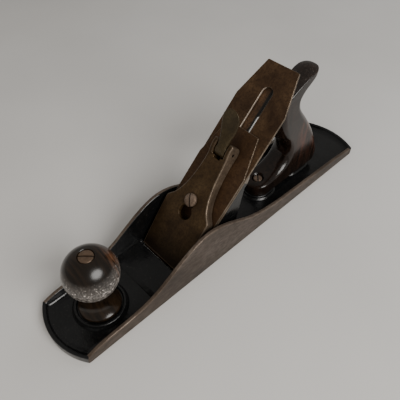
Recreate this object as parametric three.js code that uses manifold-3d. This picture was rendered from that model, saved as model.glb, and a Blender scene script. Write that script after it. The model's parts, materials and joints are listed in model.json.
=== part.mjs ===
// Bailey-pattern bench plane of jack size, with a knob at the toe and a tote at the heel.
// Millimetres. +X points to the toe, +Y to the user's left, +Z up. The origin is the middle of the sole.
// Parts on the bed are drawn in the bed's own frame: x runs up the bed from the cutting edge,
// y across it (towards the user's right), and z out of it, with z = 0 on the cutter's upper face.

import * as THREE from 'three';
import { mergeVertices } from 'three/addons/utils/BufferGeometryUtils.js';
import Module from 'manifold-3d';

const wasm = await Module();
wasm.setup();

// ---- driving dimensions ----

const GAP = 0.3; // between faces that touch on the real tool
const DRILL = 80; // length of a cutting tool that has to pass right through a piece

const BODY = {
  length: 355.6,
  width: 63.5,
  wall: 3.5,
  floor: 4.2,
  toeSag: 10.5, // how far the toe's arc stands past its corners
  heelSag: 8.6,
  toeLip: 5,
  heelLip: 4,
  toeRim: 8,
  heelRim: 8.3,
  humpX: 46,
  humpZ: 46,
};

const BED_ANGLE = Math.PI / 4;
const EDGE_X = 71.2; // where the bed's upper plane meets the sole
const MOUTH = { front: 73.4, rear: 66, width: 56.2 };

const CUTTER = { width: 50.8, thick: 2, length: 191, edgeLift: 0.4, topWidth: 31.2, clip: 35 };
const SLOT = { width: 10.6, top: 171.6, bottom: 45, keyhole: 15 };
const BREAKER = { width: 50.4, thick: 2, tip: 2, top: 133, topWidth: 32.8, fullWidthEnd: 99, hump: 9 };
const BREAKER_BACK = GAP; // lower face of the chip breaker
const BREAKER_FACE = BREAKER_BACK + BREAKER.thick;

const FROG_FACE = -CUTTER.thick - GAP;
const FROG = {
  plate: 5.5,
  halfWidth: 24.6,
  shoulder: 97,
  top: 127,
  topHalfWidth: 13,
  seat: 11,
  foot: 6,
  rear: 6,
};
const FROG_SCREW = { x: 33, y: 12.6, travel: 1.8 };
const SEAT = { front: 55, rear: 10, halfWidth: 22 };

const CLAMP_S = 62.5; // lever cap screw
const YOKE_S = 84; // tip of the yoke
const STACK_SCREW_S = 95; // screw that joins the chip breaker to the cutter
const ROLLER_S = 109; // lateral roller
const LATERAL_S = 120; // pivot of the lateral lever
const LATERAL = { width: 7, thick: 1.8, back: -4.9, top: 172.5, thumbWidth: 13, thumbDepth: 5.6, offset: 3.3 };

const CAP = { halfWidth: 24.6, tip: 4, shoulder: 52, end: 118, neck: 9.9, skin: 3.6, under: 4.2 };
const CAP_TOP = 12.4; // upper face at the shoulder
const CAP_NECK_TOP = 14.2; // upper face at the neck
const KEYHOLE = { lobeS: 51, lobe: 6.4, slot: 3.6 };
const CLAMP_HEAD = 13.15; // under the head of the lever cap screw
const CAM = {
  s: 111,
  z: 10.8,
  hub: 6.4,
  slotStart: 104.2,
  slotHalfWidth: 5.6,
  base: 5.2, // half-width between the cap's ears
  thumb: 8.4,
  end: 141.5,
};

const SPRING_RIVET = { s: 90, top: 12 };

const YOKE = { z: -15, pin: 1.5, tip: 1.6, arm: 13.3, fork: 3 };
const STUD = { radius: 3.2, front: 14.5, rear: -17 };
const WHEEL = { radius: 14, front: -3.6, rear: -11.6, hub: 5.4, flangeFront: 6.9, flange: 8 };

const KNOB = {
  x: 134.7,
  base: 17,
  ball: 21.1,
  ballZ: 50.4,
  top: 70.6,
  neck: 9.6,
  bore: 3.3,
  nut: 5.6,
  sink: 3.2, // depth of the nut's seat
};
const RING = { outer: 20.8, inner: 17.6, top: 8.2, seat: 6.4 };

const TOTE = {
  thick: 25.4,
  edge: 8,
  bottom: 8,
  nose: -38.5,
  tip: -112.4, // end of the horn
  toe: 12.7,
  screwX: -51,
  bore: 3.3,
  sink: 17.2, // height of the toe screw's seat
};
const TOTE_ROD = { footX: -101, footZ: 7, topX: -71, topZ: 106.5 };

// ---- materials ----

function finish(color, roughness, metalness) {
  return new THREE.MeshStandardMaterial({ color, roughness, metalness });
}

const japan = () => finish(0x1b1f22, 0.35, 0.4);
const rustySteel = () => finish(0x4a3524, 0.6, 0.7);
const rustyCap = () => finish(0x3c2d1f, 0.55, 0.7);
const wornSteel = () => finish(0x6b5a4c, 0.5, 0.8);
const brass = () => finish(0x7d6438, 0.45, 0.8);
const darkWood = () => finish(0x2e1c17, 0.3, 0.0);

// ---- solids ----

function solid(geometry) {
  const bare = geometry.clone();
  bare.deleteAttribute('normal');
  bare.deleteAttribute('uv');
  const merged = mergeVertices(bare, 1e-4);
  const corners = merged.index.array;
  const kept = [];
  for (let i = 0; i < corners.length; i += 3) {
    const [a, b, c] = [corners[i], corners[i + 1], corners[i + 2]];
    if (a !== b && b !== c && c !== a) kept.push(a, b, c);
  }
  return new wasm.Manifold(new wasm.Mesh({
    numProp: 3,
    vertProperties: new Float32Array(merged.attributes.position.array),
    triVerts: new Uint32Array(kept),
  }));
}

function geometryOf(body) {
  const mesh = body.getMesh();
  const geometry = new THREE.BufferGeometry();
  geometry.setAttribute('position', new THREE.BufferAttribute(new Float32Array(mesh.vertProperties), 3));
  geometry.setIndex(new THREE.BufferAttribute(new Uint32Array(mesh.triVerts), 1));
  geometry.computeVertexNormals();
  return geometry;
}

function named(name, body, material) {
  const mesh = new THREE.Mesh(geometryOf(body), material);
  mesh.name = name;
  return mesh;
}

// Outline drawn in x and y, raised from z = low to z = high.
function raised(shape, low, high, options = {}) {
  const depth = high - low;
  const settings = { depth, bevelEnabled: false, curveSegments: 12, ...options };
  return solid(new THREE.ExtrudeGeometry(shape, settings).translate(0, 0, low));
}

// Side view drawn in x and z, made width thick across y about y = middle.
function sideways(shape, width, middle = 0, options = {}) {
  const settings = { depth: width, bevelEnabled: false, curveSegments: 12, ...options };
  const geometry = new THREE.ExtrudeGeometry(shape, settings);
  return solid(geometry.rotateX(Math.PI / 2).translate(0, middle + width / 2, 0));
}

// Profile of [radius, height] pairs turned about the z axis.
function turned(profile, sides = 18) {
  const points = profile.map(([radius, height]) => new THREE.Vector2(radius, height));
  return solid(new THREE.LatheGeometry(points, sides).rotateX(Math.PI / 2));
}

function rod(radius, low, high, sides = 16) {
  return turned([[0, low], [radius, low], [radius, high], [0, high]], sides);
}

function block(x, y, z) {
  const geometry = new THREE.BoxGeometry(x[1] - x[0], y[1] - y[0], z[1] - z[0]);
  return solid(geometry.translate((x[0] + x[1]) / 2, (y[0] + y[1]) / 2, (z[0] + z[1]) / 2));
}

function polygon(points) {
  return new THREE.Shape(points.map(([x, y]) => new THREE.Vector2(x, y)));
}

// Slot outline along x with round ends; its width is twice the radius.
function slotShape(x0, x1, radius) {
  const shape = new THREE.Shape();
  shape.moveTo(x0, -radius);
  shape.lineTo(x1, -radius);
  shape.absarc(x1, 0, radius, -Math.PI / 2, Math.PI / 2, false);
  shape.lineTo(x0, radius);
  shape.absarc(x0, 0, radius, Math.PI / 2, Math.PI * 1.5, false);
  return shape;
}

function joined(first, ...others) {
  return others.reduce((sum, other) => sum.add(other), first);
}

function cut(first, ...tools) {
  return tools.reduce((rest, tool) => rest.subtract(tool), first);
}

// Screw standing on z = 0 with its shank below: a slotted round head with a slightly domed top.
function slottedScrew({ head, height, shank, length, slot = 1.4, dome = 0.8 }) {
  const body = turned([
    [0, -length], [shank, -length], [shank, 0], [head, 0],
    [head, height - dome], [head * 0.7, height - dome * 0.3], [0, height],
  ]);
  return body.subtract(block([-slot / 2, slot / 2], [-head - 1, head + 1], [height * 0.45, height + 1]));
}

const root = new THREE.Group();

// ---- body ----

// Plan outline with arc ends, drawn in x and y.
function planShape(halfLength, halfWidth, toeSag, heelSag) {
  const arcRadius = (sag) => (halfWidth * halfWidth + sag * sag) / (2 * sag);
  const toe = arcRadius(toeSag);
  const heel = arcRadius(heelSag);
  const toeAngle = Math.asin(halfWidth / toe);
  const heelAngle = Math.asin(halfWidth / heel);
  const shape = new THREE.Shape();
  shape.moveTo(-halfLength[1] + heelSag, -halfWidth);
  shape.lineTo(halfLength[0] - toeSag, -halfWidth);
  shape.absarc(halfLength[0] - toe, 0, toe, -toeAngle, toeAngle, false);
  shape.lineTo(-halfLength[1] + heelSag, halfWidth);
  shape.absarc(-halfLength[1] + heel, 0, heel, Math.PI - heelAngle, Math.PI + heelAngle, false);
  return shape;
}

// Side view of the casting: level rims, and cheeks that rise to a hump beside the mouth.
function cheekShape() {
  const toe = BODY.length / 2 + 1;
  const shape = new THREE.Shape();
  shape.moveTo(-toe, 0);
  shape.lineTo(toe, 0);
  shape.lineTo(toe, BODY.toeRim);
  shape.lineTo(167, BODY.toeRim);
  shape.bezierCurveTo(158, 12, 150, 12.4, 138, 12.9);
  shape.bezierCurveTo(118, 13.6, 108, 16, 97, 22);
  shape.bezierCurveTo(83, 30, 64, BODY.humpZ, BODY.humpX, BODY.humpZ);
  shape.bezierCurveTo(30, BODY.humpZ, 14, 35, -4, 26);
  shape.bezierCurveTo(-22, 18.5, -42, 15.8, -70, 14.9);
  shape.bezierCurveTo(-100, 13.4, -125, 12.4, -140, 11);
  shape.lineTo(-168, BODY.heelRim);
  shape.lineTo(-toe, BODY.heelRim);
  return shape;
}

function planeBody() {
  const half = BODY.length / 2;
  const halfWidth = BODY.width / 2;
  const outer = raised(planShape([half, half], halfWidth, BODY.toeSag, BODY.heelSag), 0, BODY.humpZ + 4);
  const inner = planShape([half - BODY.toeLip, half - BODY.heelLip], halfWidth - BODY.wall,
    BODY.toeSag * 0.8, BODY.heelSag * 0.8);
  const trough = raised(inner, BODY.floor, BODY.humpZ + 5);
  const shell = cut(outer.intersect(sideways(cheekShape(), BODY.width + 2)), trough);

  // seat of the frog, with a front face parallel to the bed
  const lean = (z) => MOUTH.rear - z;
  const seat = sideways(polygon([
    [SEAT.rear, 2], [lean(2), 2], [lean(FROG.seat), FROG.seat], [SEAT.rear, FROG.seat],
  ]), SEAT.halfWidth * 2);

  const ring = turned([[0, 2], [RING.outer, 2], [RING.outer, RING.top - 0.8], [RING.outer - 0.8, RING.top],
    [RING.inner + 0.6, RING.top], [RING.inner, RING.top - 0.6], [RING.inner, RING.seat], [0, RING.seat]], 30);
  const toteSeat = raised(slotShape(TOTE.screwX - 4, TOTE.screwX, 13.6), 2, TOTE.bottom - GAP);
  const rodSeat = raised(slotShape(TOTE_ROD.footX - 10, TOTE_ROD.footX + 4, 11.6), 2, TOTE.bottom - GAP);
  const padSide = polygon([[70, 2], [101, 2], [101, 4.2], [97, 5.8], [70, 5.8]]);
  const mouthPad = sideways(padSide, BODY.width - BODY.wall);
  const solidParts = joined(shell, seat, ring.translate([KNOB.x, 0, 0]), toteSeat, rodSeat, mouthPad);

  const mouth = sideways(polygon([
    [MOUTH.rear - 0.2, -1], [MOUTH.front, -1], [MOUTH.front, 1.2],
    [MOUTH.front + 5, 10], [MOUTH.rear - 10.2, 10],
  ]), MOUTH.width);
  const knobHole = rod(KNOB.bore, 1.6, 12).translate([KNOB.x, 0, 0]);
  const toeScrewHole = rod(2.3, 1.6, 12).translate([TOTE.screwX, 0, 0]);
  const rodHole = toteAxis(rod(TOTE.bore, -3.1, 3.1, 20));
  const adjusterHole = rod(2.6, 0, 17).rotate([0, 90, 0]).translate([SEAT.rear - 1, 0, 7.7]);
  const frogHole = rod(3.2, 4.8, 14);
  const frogHoles = [-1, 1].map((side) => frogHole.translate([FROG_SCREW.x, side * FROG_SCREW.y, 0]));
  return cut(solidParts, mouth, knobHole, toeScrewHole, rodHole, adjusterHole, ...frogHoles);
}

// Turns a solid drawn about the z axis, with z = 0 at the rod's foot, onto the tote rod's leaning axis.
function toteAxis(body) {
  const lean = Math.atan2(TOTE_ROD.topX - TOTE_ROD.footX, TOTE_ROD.topZ - TOTE_ROD.footZ);
  return body.rotate([0, THREE.MathUtils.radToDeg(lean), 0]).translate([TOTE_ROD.footX, 0, TOTE_ROD.footZ]);
}

root.add(named('plane_body', planeBody(), japan()));

// ---- bed frame ----

const bed = new THREE.Group();
bed.position.set(EDGE_X, 0, 0);
bed.rotation.set(0, BED_ANGLE, Math.PI);
root.add(bed);

// Places a solid drawn in the plane's frame into the bed's frame.
function ontoBed(body) {
  const angle = THREE.MathUtils.radToDeg(BED_ANGLE);
  return body.translate([-EDGE_X, 0, 0]).rotate([0, -angle, 0]).rotate([0, 0, 180]);
}

const bedCos = Math.cos(BED_ANGLE);
const pivotX = EDGE_X - YOKE_S * bedCos + YOKE.z * bedCos;
const pivotZ = YOKE_S * bedCos + YOKE.z * bedCos;
const studZ = pivotZ - YOKE.arm;

// ---- frog ----

function frogPlate() {
  const shape = new THREE.Shape();
  const low = (FROG.seat + GAP) / bedCos - FROG_FACE;
  shape.moveTo(low - FROG.plate * 2, -FROG.halfWidth);
  shape.lineTo(FROG.shoulder, -FROG.halfWidth);
  shape.bezierCurveTo(FROG.shoulder + 10, -FROG.halfWidth, FROG.top - 14, -FROG.topHalfWidth,
    FROG.top, -FROG.topHalfWidth);
  shape.lineTo(FROG.top, FROG.topHalfWidth);
  shape.bezierCurveTo(FROG.top - 14, FROG.topHalfWidth, FROG.shoulder + 10, FROG.halfWidth,
    FROG.shoulder, FROG.halfWidth);
  shape.lineTo(low - FROG.plate * 2, FROG.halfWidth);
  return raised(shape, FROG_FACE - FROG.plate, FROG_FACE, { curveSegments: 6 });
}

function frog() {
  const bottom = FROG.seat + GAP;
  const foot = block([FROG.rear, 58], [-FROG.halfWidth, FROG.halfWidth], [bottom, bottom + FROG.foot]);
  const web = (y) => sideways(polygon([
    [54, bottom + 1], [FROG.rear + 2, bottom + 1], [FROG.rear - 1, 30], [pivotX - 3, 62], [15, 52], [50, 17],
  ]), 4.5, y);
  const lug = (y) => sideways(polygon([
    [pivotX - 4, pivotZ - 3], [pivotX - 1, pivotZ - 4.3], [pivotX + 4, pivotZ - 4.3],
    [24, 36], [30, 34], [8, 57], [pivotX - 4, pivotZ + 3],
  ]), 4, y);
  const studBoss = rod(6.4, 0, 20).rotate([0, 90, 0]).translate([8, 0, studZ]);
  const clampBoss = rod(5.6, FROG_FACE - 10, FROG_FACE - 2).translate([CLAMP_S, 0, 0]);
  const frame = joined(foot, web(-21.5), web(21.5), lug(-8.6), lug(8.6), studBoss);
  const casting = joined(ontoBed(frame), frogPlate(), clampBoss);

  const underSole = block([-40, 90], [-40, 40], [-30, bottom]);
  const aboveBed = block([-30, 170], [-40, 40], [FROG_FACE, 40]);
  const clampHole = rod(3.3, FROG_FACE - 12, 1).translate([CLAMP_S, 0, 0]);
  const yokeSlot = block([YOKE_S - 5.4, YOKE_S + 5.4], [-5.4, 5.4], [FROG_FACE - 12, 1]);
  const rivetHole = rod(1.9, FROG_FACE - 12, 1).translate([LATERAL_S, 0, 0]);
  const swing = slotShape(ROLLER_S - 1, FROG.top + 12, 8.4);
  const leverRecess = raised(swing, LATERAL.back - GAP, 1);
  const screwRelief = raised(slotShape(STACK_SCREW_S - 4, STACK_SCREW_S + 3, 8.2), FROG_FACE - 3.4, 1);
  const studHole = rod(STUD.radius + GAP, 0, STUD.front + GAP).rotate([0, 90, 0]).translate([0, 0, studZ]);
  const pinHole = rod(YOKE.pin + GAP, -11, 11).rotate([90, 0, 0]).translate([pivotX, 0, pivotZ]);
  const clipHole = rod(1.7, 0, 10).rotate([0, 90, 0]).translate([FROG.rear - 1, 0, bottom + 3]);
  const reach = FROG_SCREW.travel + 0.3;
  const access = [-1, 1].map((side) => {
    const shankSlot = raised(slotShape(-reach, reach, 3.3), 5, 30);
    const headWay = raised(slotShape(-reach, reach, 6.9), bottom + FROG.foot, DRILL);
    return joined(shankSlot, headWay).translate([FROG_SCREW.x, side * FROG_SCREW.y, 0]);
  });
  const squareTools = [underSole, studHole, pinHole, clipHole, ...access].map(ontoBed);
  return cut(casting, aboveBed, clampHole, yokeSlot, rivetHole, leverRecess, screwRelief, ...squareTools);
}

bed.add(named('frog', frog(), japan()));

function frogFasteners() {
  const top = FROG.seat + GAP + FROG.foot;
  const washer = turned([[3.3, 0], [6.4, 0], [6.4, 1.2], [3.3, 1.2], [3.3, 0]]);
  const screw = slottedScrew({ head: 5.4, height: 3.4, shank: 2.9, length: top + 1.8 - 5.2 });
  for (const [side, label] of [[-1, 'right'], [1, 'left']]) {
    const place = (body, z) => body.translate([FROG_SCREW.x, side * FROG_SCREW.y, z]);
    root.add(named(`frog_washer_${label}`, place(washer, top + GAP), wornSteel()));
    root.add(named(`frog_screw_${label}`, place(screw, top + 1.2 + 2 * GAP), wornSteel()));
  }

  // the adjusting screw lies along x, with a groove that the clip's fork holds
  const groove = FROG.rear - GAP;
  const adjuster = turned([
    [0, -5.4], [3.1, -5.4], [3.1, -2.2], [1.8, -2.2], [1.8, 0.4],
    [2.9, 0.4], [2.9, 1.4], [2.2, 1.8], [2.2, 15], [0, 15],
  ]).subtract(block([-4, 4], [-0.6, 0.6], [-6, -4.2]));
  const levelAdjuster = adjuster.rotate([0, 90, 0]).translate([groove, 0, 7.7]);
  root.add(named('frog_adjusting_screw', levelAdjuster, wornSteel()));

  const clipShape = new THREE.Shape();
  clipShape.moveTo(-6, 18.5);
  clipShape.lineTo(-6, 5.2);
  clipShape.lineTo(-2.1, 5.2);
  clipShape.lineTo(-2.1, 7.7);
  clipShape.absarc(0, 7.7, 2.1, Math.PI, 0, true);
  clipShape.lineTo(2.1, 5.2);
  clipShape.lineTo(6, 5.2);
  clipShape.lineTo(6, 18.5);
  const clipBody = raised(clipShape, 0, 1.6).subtract(rod(1.7, -1, 3).translate([0, FROG.seat + GAP + 3, 0]));
  const clip = clipBody.rotate([90, 0, 90]).translate([FROG.rear - GAP - 1.6, 0, 0]);
  root.add(named('frog_clip', clip, wornSteel()));

  const clipScrew = slottedScrew({ head: 3.3, height: 1.8, shank: 1.4, length: 8, slot: 0.9, dome: 0.5 });
  const screwX = FROG.rear - 1.6 - 2 * GAP;
  const turnedScrew = clipScrew.rotate([0, -90, 0]).translate([screwX, 0, FROG.seat + GAP + 3]);
  root.add(named('clip_screw', turnedScrew, wornSteel()));
}

frogFasteners();

// ---- depth adjustment ----

function depthAdjustment() {
  const stud = rod(STUD.radius, STUD.rear, STUD.front, 20).rotate([0, 90, 0]).translate([0, 0, studZ]);
  root.add(named('depth_stud', stud, wornSteel()));

  const bore = STUD.radius + GAP;
  const profile = [
    [bore, WHEEL.rear - 1.6], [6, WHEEL.rear - 1.6], [6.6, WHEEL.rear], [WHEEL.radius - 1.2, WHEEL.rear],
    [WHEEL.radius, WHEEL.rear + 1.2], [WHEEL.radius, WHEEL.front - 1.2], [WHEEL.radius - 1.2, WHEEL.front],
    [WHEEL.hub, WHEEL.front], [WHEEL.hub, WHEEL.flangeFront - 1.5], [WHEEL.flange, WHEEL.flangeFront - 1.5],
    [WHEEL.flange, WHEEL.flangeFront], [bore, WHEEL.flangeFront], [bore, WHEEL.rear - 1.6],
  ];
  const wheel = turned(profile, 26).rotate([0, 90, 0]).translate([0, 0, studZ]);
  root.add(named('depth_wheel', wheel, brass()));

  // the yoke: an upper arm square to the bed, and a lower fork astride the wheel's hub
  const upper = block([YOKE_S - 1.9, YOKE_S + 1.9], [-4, 4], [YOKE.z, YOKE.tip]);
  const eye = rod(3.9, -6.1, 6.1).rotate([90, 0, 0]).translate([pivotX, 0, pivotZ]);
  const spread = WHEEL.hub + GAP + 1.5;
  const across = [pivotX - 1.5, pivotX + 1.5];
  const tine = (y) => block(across, [y - 1.4, y + 1.4], [studZ - 3, pivotZ - 5]);
  const shoulders = block(across, [-spread - 1.4, spread + 1.4], [pivotZ - 7.4, pivotZ - 5.3]);
  const bridge = block(across, [-6.1, 6.1], [pivotZ - 7.4, pivotZ]);
  const hubWay = rod(WHEEL.hub + GAP, -20, 20).rotate([0, 90, 0]).translate([pivotX, 0, studZ]);
  const fork = cut(joined(eye, bridge, shoulders, tine(-spread), tine(spread)), hubWay);
  const pinHole = ontoBed(rod(YOKE.pin + GAP, -12, 12).rotate([90, 0, 0]).translate([pivotX, 0, pivotZ]));
  bed.add(named('depth_yoke', cut(joined(ontoBed(fork), upper), pinHole), wornSteel()));

  const pin = rod(YOKE.pin, -10.4, 10.4, 16).rotate([90, 0, 0]).translate([pivotX, 0, pivotZ]);
  root.add(named('yoke_pin', pin, wornSteel()));
}

depthAdjustment();

// ---- cutter and chip breaker ----

function cutter() {
  const half = CUTTER.width / 2;
  const topHalf = CUTTER.topWidth / 2;
  const blank = raised(polygon([
    [CUTTER.edgeLift, -half], [CUTTER.length - CUTTER.clip, -half], [CUTTER.length, -topHalf],
    [CUTTER.length, topHalf], [CUTTER.length - CUTTER.clip, half], [CUTTER.edgeLift, half],
  ]), -CUTTER.thick, 0);
  const bevel = sideways(polygon([
    [CUTTER.edgeLift - 1, -0.15], [CUTTER.edgeLift, -0.15], [CUTTER.edgeLift + 4.2, -CUTTER.thick - 0.2],
    [CUTTER.edgeLift - 1, -CUTTER.thick - 0.2],
  ]), 60);
  const slot = raised(slotShape(SLOT.bottom, SLOT.top - SLOT.width / 2, SLOT.width / 2), -4, 2);
  const keyhole = rod(SLOT.keyhole / 2, -4, 2).translate([SLOT.bottom, 0, 0]);
  return cut(blank, bevel, slot, keyhole);
}

function chipBreaker() {
  const half = BREAKER.width / 2;
  const topHalf = BREAKER.topWidth / 2;
  const rise = 1.3;
  const side = new THREE.Shape();
  side.moveTo(BREAKER.tip, BREAKER_BACK);
  side.bezierCurveTo(BREAKER.tip + 3, BREAKER_BACK + rise, BREAKER.hump + 3, BREAKER_BACK + rise,
    24, BREAKER_BACK);
  side.lineTo(BREAKER.top, BREAKER_BACK);
  side.lineTo(BREAKER.top, BREAKER_FACE);
  side.lineTo(24, BREAKER_FACE);
  side.bezierCurveTo(BREAKER.hump + 4, BREAKER_FACE + rise * 1.2, BREAKER.tip + 4, BREAKER_FACE + rise * 1.2,
    BREAKER.tip, BREAKER_BACK + 0.5);
  const outline = polygon([
    [0, -half], [BREAKER.fullWidthEnd, -half], [BREAKER.top + 0.1, -topHalf], [BREAKER.top + 1, -topHalf],
    [BREAKER.top + 1, topHalf], [BREAKER.top + 0.1, topHalf], [BREAKER.fullWidthEnd, half], [0, half],
  ]);
  const blank = sideways(side, BREAKER.width, 0, { curveSegments: 6 }).intersect(raised(outline, -2, 8));
  const clampHole = raised(slotShape(CLAMP_S - 2, CLAMP_S + 4, 6), -2, 8);
  const yokeHole = block([YOKE_S - 2.5, YOKE_S + 2.5], [-6.2, 6.2], [-2, 8]);
  const screwHole = rod(2.9, -2, 8).translate([STACK_SCREW_S, 0, 0]);
  return cut(blank, clampHole, yokeHole, screwHole);
}

bed.add(named('cutter', cutter(), rustySteel()));
bed.add(named('chip_breaker', chipBreaker(), rustySteel()));

// the stack screw's head is under the cutter and its shank is in the chip breaker
function stackScrew() {
  const length = CUTTER.thick + GAP * 2 + 1.8;
  const screw = slottedScrew({ head: 6, height: 2.2, shank: 2.6, length, dome: 0.4 });
  return screw.rotate([180, 0, 0]).translate([STACK_SCREW_S, 0, -CUTTER.thick - GAP]);
}

bed.add(named('stack_screw', stackScrew(), rustySteel()));

// ---- lateral adjustment ----

function lateralAdjustment() {
  const half = LATERAL.width / 2;
  const offset = LATERAL.offset;
  const shape = new THREE.Shape();
  shape.moveTo(ROLLER_S, -5);
  shape.lineTo(LATERAL_S, -6);
  shape.lineTo(LATERAL_S + 14, offset - half);
  shape.lineTo(LATERAL.top, offset - half);
  shape.lineTo(LATERAL.top, offset + half);
  shape.lineTo(LATERAL_S + 10, offset + half);
  shape.lineTo(LATERAL_S, 6);
  shape.lineTo(ROLLER_S, 5);
  shape.absarc(ROLLER_S, 0, 5, Math.PI / 2, Math.PI * 1.5, false);
  const front = LATERAL.back + LATERAL.thick;
  const arm = raised(shape, LATERAL.back, front, { curveSegments: 8 });
  const thumbSides = [offset - LATERAL.thumbWidth / 2, offset + LATERAL.thumbWidth / 2];
  const thumb = block([LATERAL.top - LATERAL.thick, LATERAL.top], thumbSides,
    [LATERAL.back - LATERAL.thumbDepth, front]);
  const hole = (s, radius) => rod(radius, -12, 2).translate([s, 0, 0]);
  const lever = cut(joined(arm, thumb), hole(ROLLER_S, 1.8), hole(LATERAL_S, 1.9));
  bed.add(named('lateral_lever', lever, rustySteel()));

  const rollerBack = front + GAP;
  const roller = turned([
    [1.8, rollerBack], [4.5, rollerBack], [4.5, -0.25], [1.8, -0.25], [1.8, rollerBack],
  ]);
  bed.add(named('lateral_roller', roller.translate([ROLLER_S, 0, 0]), wornSteel()));
  const rollerPin = rod(1.5, LATERAL.back + 0.1, -0.25, 16).translate([ROLLER_S, 0, 0]);
  bed.add(named('roller_pin', rollerPin, wornSteel()));
  const rivetFoot = FROG_FACE - FROG.plate + 0.4;
  const rivetTop = FROG_FACE + 0.1;
  const rivet = turned([
    [0, rivetFoot], [1.6, rivetFoot], [1.6, front + GAP], [3.8, front + GAP], [3.8, rivetTop], [0, rivetTop],
  ]);
  bed.add(named('lateral_rivet', rivet.translate([LATERAL_S, 0, 0]), wornSteel()));
}

lateralAdjustment();

// ---- lever cap ----

function capPlan() {
  const shape = new THREE.Shape();
  shape.moveTo(CAP.tip, -CAP.halfWidth);
  shape.lineTo(CAP.shoulder, -CAP.halfWidth);
  shape.bezierCurveTo(56, -CAP.halfWidth, 56.5, -21, 62, -17.8);
  shape.bezierCurveTo(72, -12.4, 84, -10.8, 101, -CAP.neck);
  shape.lineTo(CAP.end - 3, -CAP.neck + 0.4);
  shape.lineTo(CAP.end, -CAP.neck + 2);
  shape.lineTo(CAP.end, CAP.neck - 2);
  shape.lineTo(CAP.end - 3, CAP.neck - 0.4);
  shape.lineTo(101, CAP.neck);
  shape.bezierCurveTo(84, 10.8, 72, 12.4, 62, 17.8);
  shape.bezierCurveTo(56.5, 21, 56, CAP.halfWidth, CAP.shoulder, CAP.halfWidth);
  shape.lineTo(CAP.tip, CAP.halfWidth);
  return shape;
}

function leverCap() {
  const side = new THREE.Shape();
  side.moveTo(CAP.tip, CAP.under);
  side.lineTo(27, CAP.under);
  side.lineTo(31, 3.3);
  side.lineTo(112, 3.3);
  side.bezierCurveTo(116, 3.6, CAP.end, 8, CAP.end, 13);
  side.bezierCurveTo(CAP.end, 17, 115, 17.6, 112, 17);
  side.bezierCurveTo(108, 16, 106, 14.6, 100, CAP_NECK_TOP);
  side.bezierCurveTo(84, 13.2, 66, 12.8, 54, CAP_TOP);
  side.bezierCurveTo(40, 9.8, 24, 6.2, CAP.tip, 5.4);
  const blank = sideways(side, CAP.halfWidth * 2, 0, { curveSegments: 6 })
    .intersect(raised(capPlan(), 0, 30, { curveSegments: 7 }));

  const under = new THREE.Shape();
  under.moveTo(24, 0);
  under.lineTo(CAM.slotStart + 1, 0);
  under.lineTo(CAM.slotStart + 1, CAP_NECK_TOP - CAP.skin);
  under.lineTo(58, CAP_TOP - CAP.skin);
  under.lineTo(30, 5.4);
  const pocketPlan = polygon([
    [20, -21], [50, -21], [62, -14.4], [78, -9.2], [92, -7.4], [106, -6.8],
    [106, 6.8], [92, 7.4], [78, 9.2], [62, 14.4], [50, 21], [20, 21],
  ]);
  const pocket = sideways(under, 44).intersect(raised(pocketPlan, -1, 30));
  const fork = block([CAM.slotStart, CAP.end + 2], [-CAM.slotHalfWidth, CAM.slotHalfWidth], [-1, 30]);
  const notch = block([CAM.slotStart - 2.4, CAM.slotStart + 1], [-3.1, 3.1], [-1, 30]);
  const lobe = rod(KEYHOLE.lobe, -1, 30).translate([KEYHOLE.lobeS, 0, 0]);
  const slot = raised(slotShape(KEYHOLE.lobeS, CLAMP_S, KEYHOLE.slot), -1, 30);
  const pinHole = rod(1.9, -20, 20).rotate([90, 0, 0]).translate([CAM.s, 0, CAM.z]);
  const rivetHole = rod(1.7, 0, SPRING_RIVET.top + GAP).translate([SPRING_RIVET.s, 0, 0]);
  return cut(blank, pocket, fork, notch, lobe, slot, pinHole, rivetHole);
}

bed.add(named('lever_cap', leverCap(), rustyCap()));

function camLever() {
  const side = new THREE.Shape();
  side.moveTo(105, 13.6);
  side.bezierCurveTo(107, 16.6, 111, 17.6, 117, 19.4);
  side.bezierCurveTo(125, 22, 133, 26.2, CAM.end, 31.6);
  side.lineTo(CAM.end, 29.8);
  side.bezierCurveTo(134, 24, 127, 19, 118.4, 14.4);
  side.lineTo(CAM.s + CAM.hub * 0.93, CAM.z + 1);
  side.absarc(CAM.s, CAM.z, CAM.hub, 0.1, -Math.PI * 0.92, true);
  const plan = new THREE.Shape();
  plan.moveTo(100, -CAM.base);
  plan.lineTo(118, -CAM.base);
  plan.bezierCurveTo(121, -CAM.base, 126, -CAM.thumb + 0.6, 132, -CAM.thumb);
  plan.bezierCurveTo(CAM.end - 2, -CAM.thumb, CAM.end, -5, CAM.end, 0);
  plan.bezierCurveTo(CAM.end, 5, CAM.end - 2, CAM.thumb, 132, CAM.thumb);
  plan.bezierCurveTo(126, CAM.thumb - 0.6, 121, CAM.base, 118, CAM.base);
  plan.lineTo(100, CAM.base);
  const settings = { curveSegments: 6 };
  const blank = sideways(side, 20, 0, settings).intersect(raised(plan, 0, 40, settings));
  return cut(blank, rod(1.9, -20, 20).rotate([90, 0, 0]).translate([CAM.s, 0, CAM.z]));
}

bed.add(named('cam_lever', camLever(), rustyCap()));
const camPin = rod(1.6, -9.2, 9.2, 16).rotate([90, 0, 0]);
bed.add(named('cam_pin', camPin.translate([CAM.s, 0, CAM.z]), wornSteel()));

function capSpring() {
  const roof = CAP_NECK_TOP - CAP.skin - 1.2;
  const side = polygon([
    [84, roof - 1], [84, roof], [94, roof], [104.6, 3.9],
    [117, 3.7], [117, 2.7], [104, 2.9], [93.4, roof - 1],
  ]);
  const leaf = sideways(side, CAM.slotHalfWidth * 2 - 1.8);
  return leaf.subtract(rod(1.7, 0, 30).translate([SPRING_RIVET.s, 0, 0]));
}

bed.add(named('cap_spring', capSpring(), wornSteel()));

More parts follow.
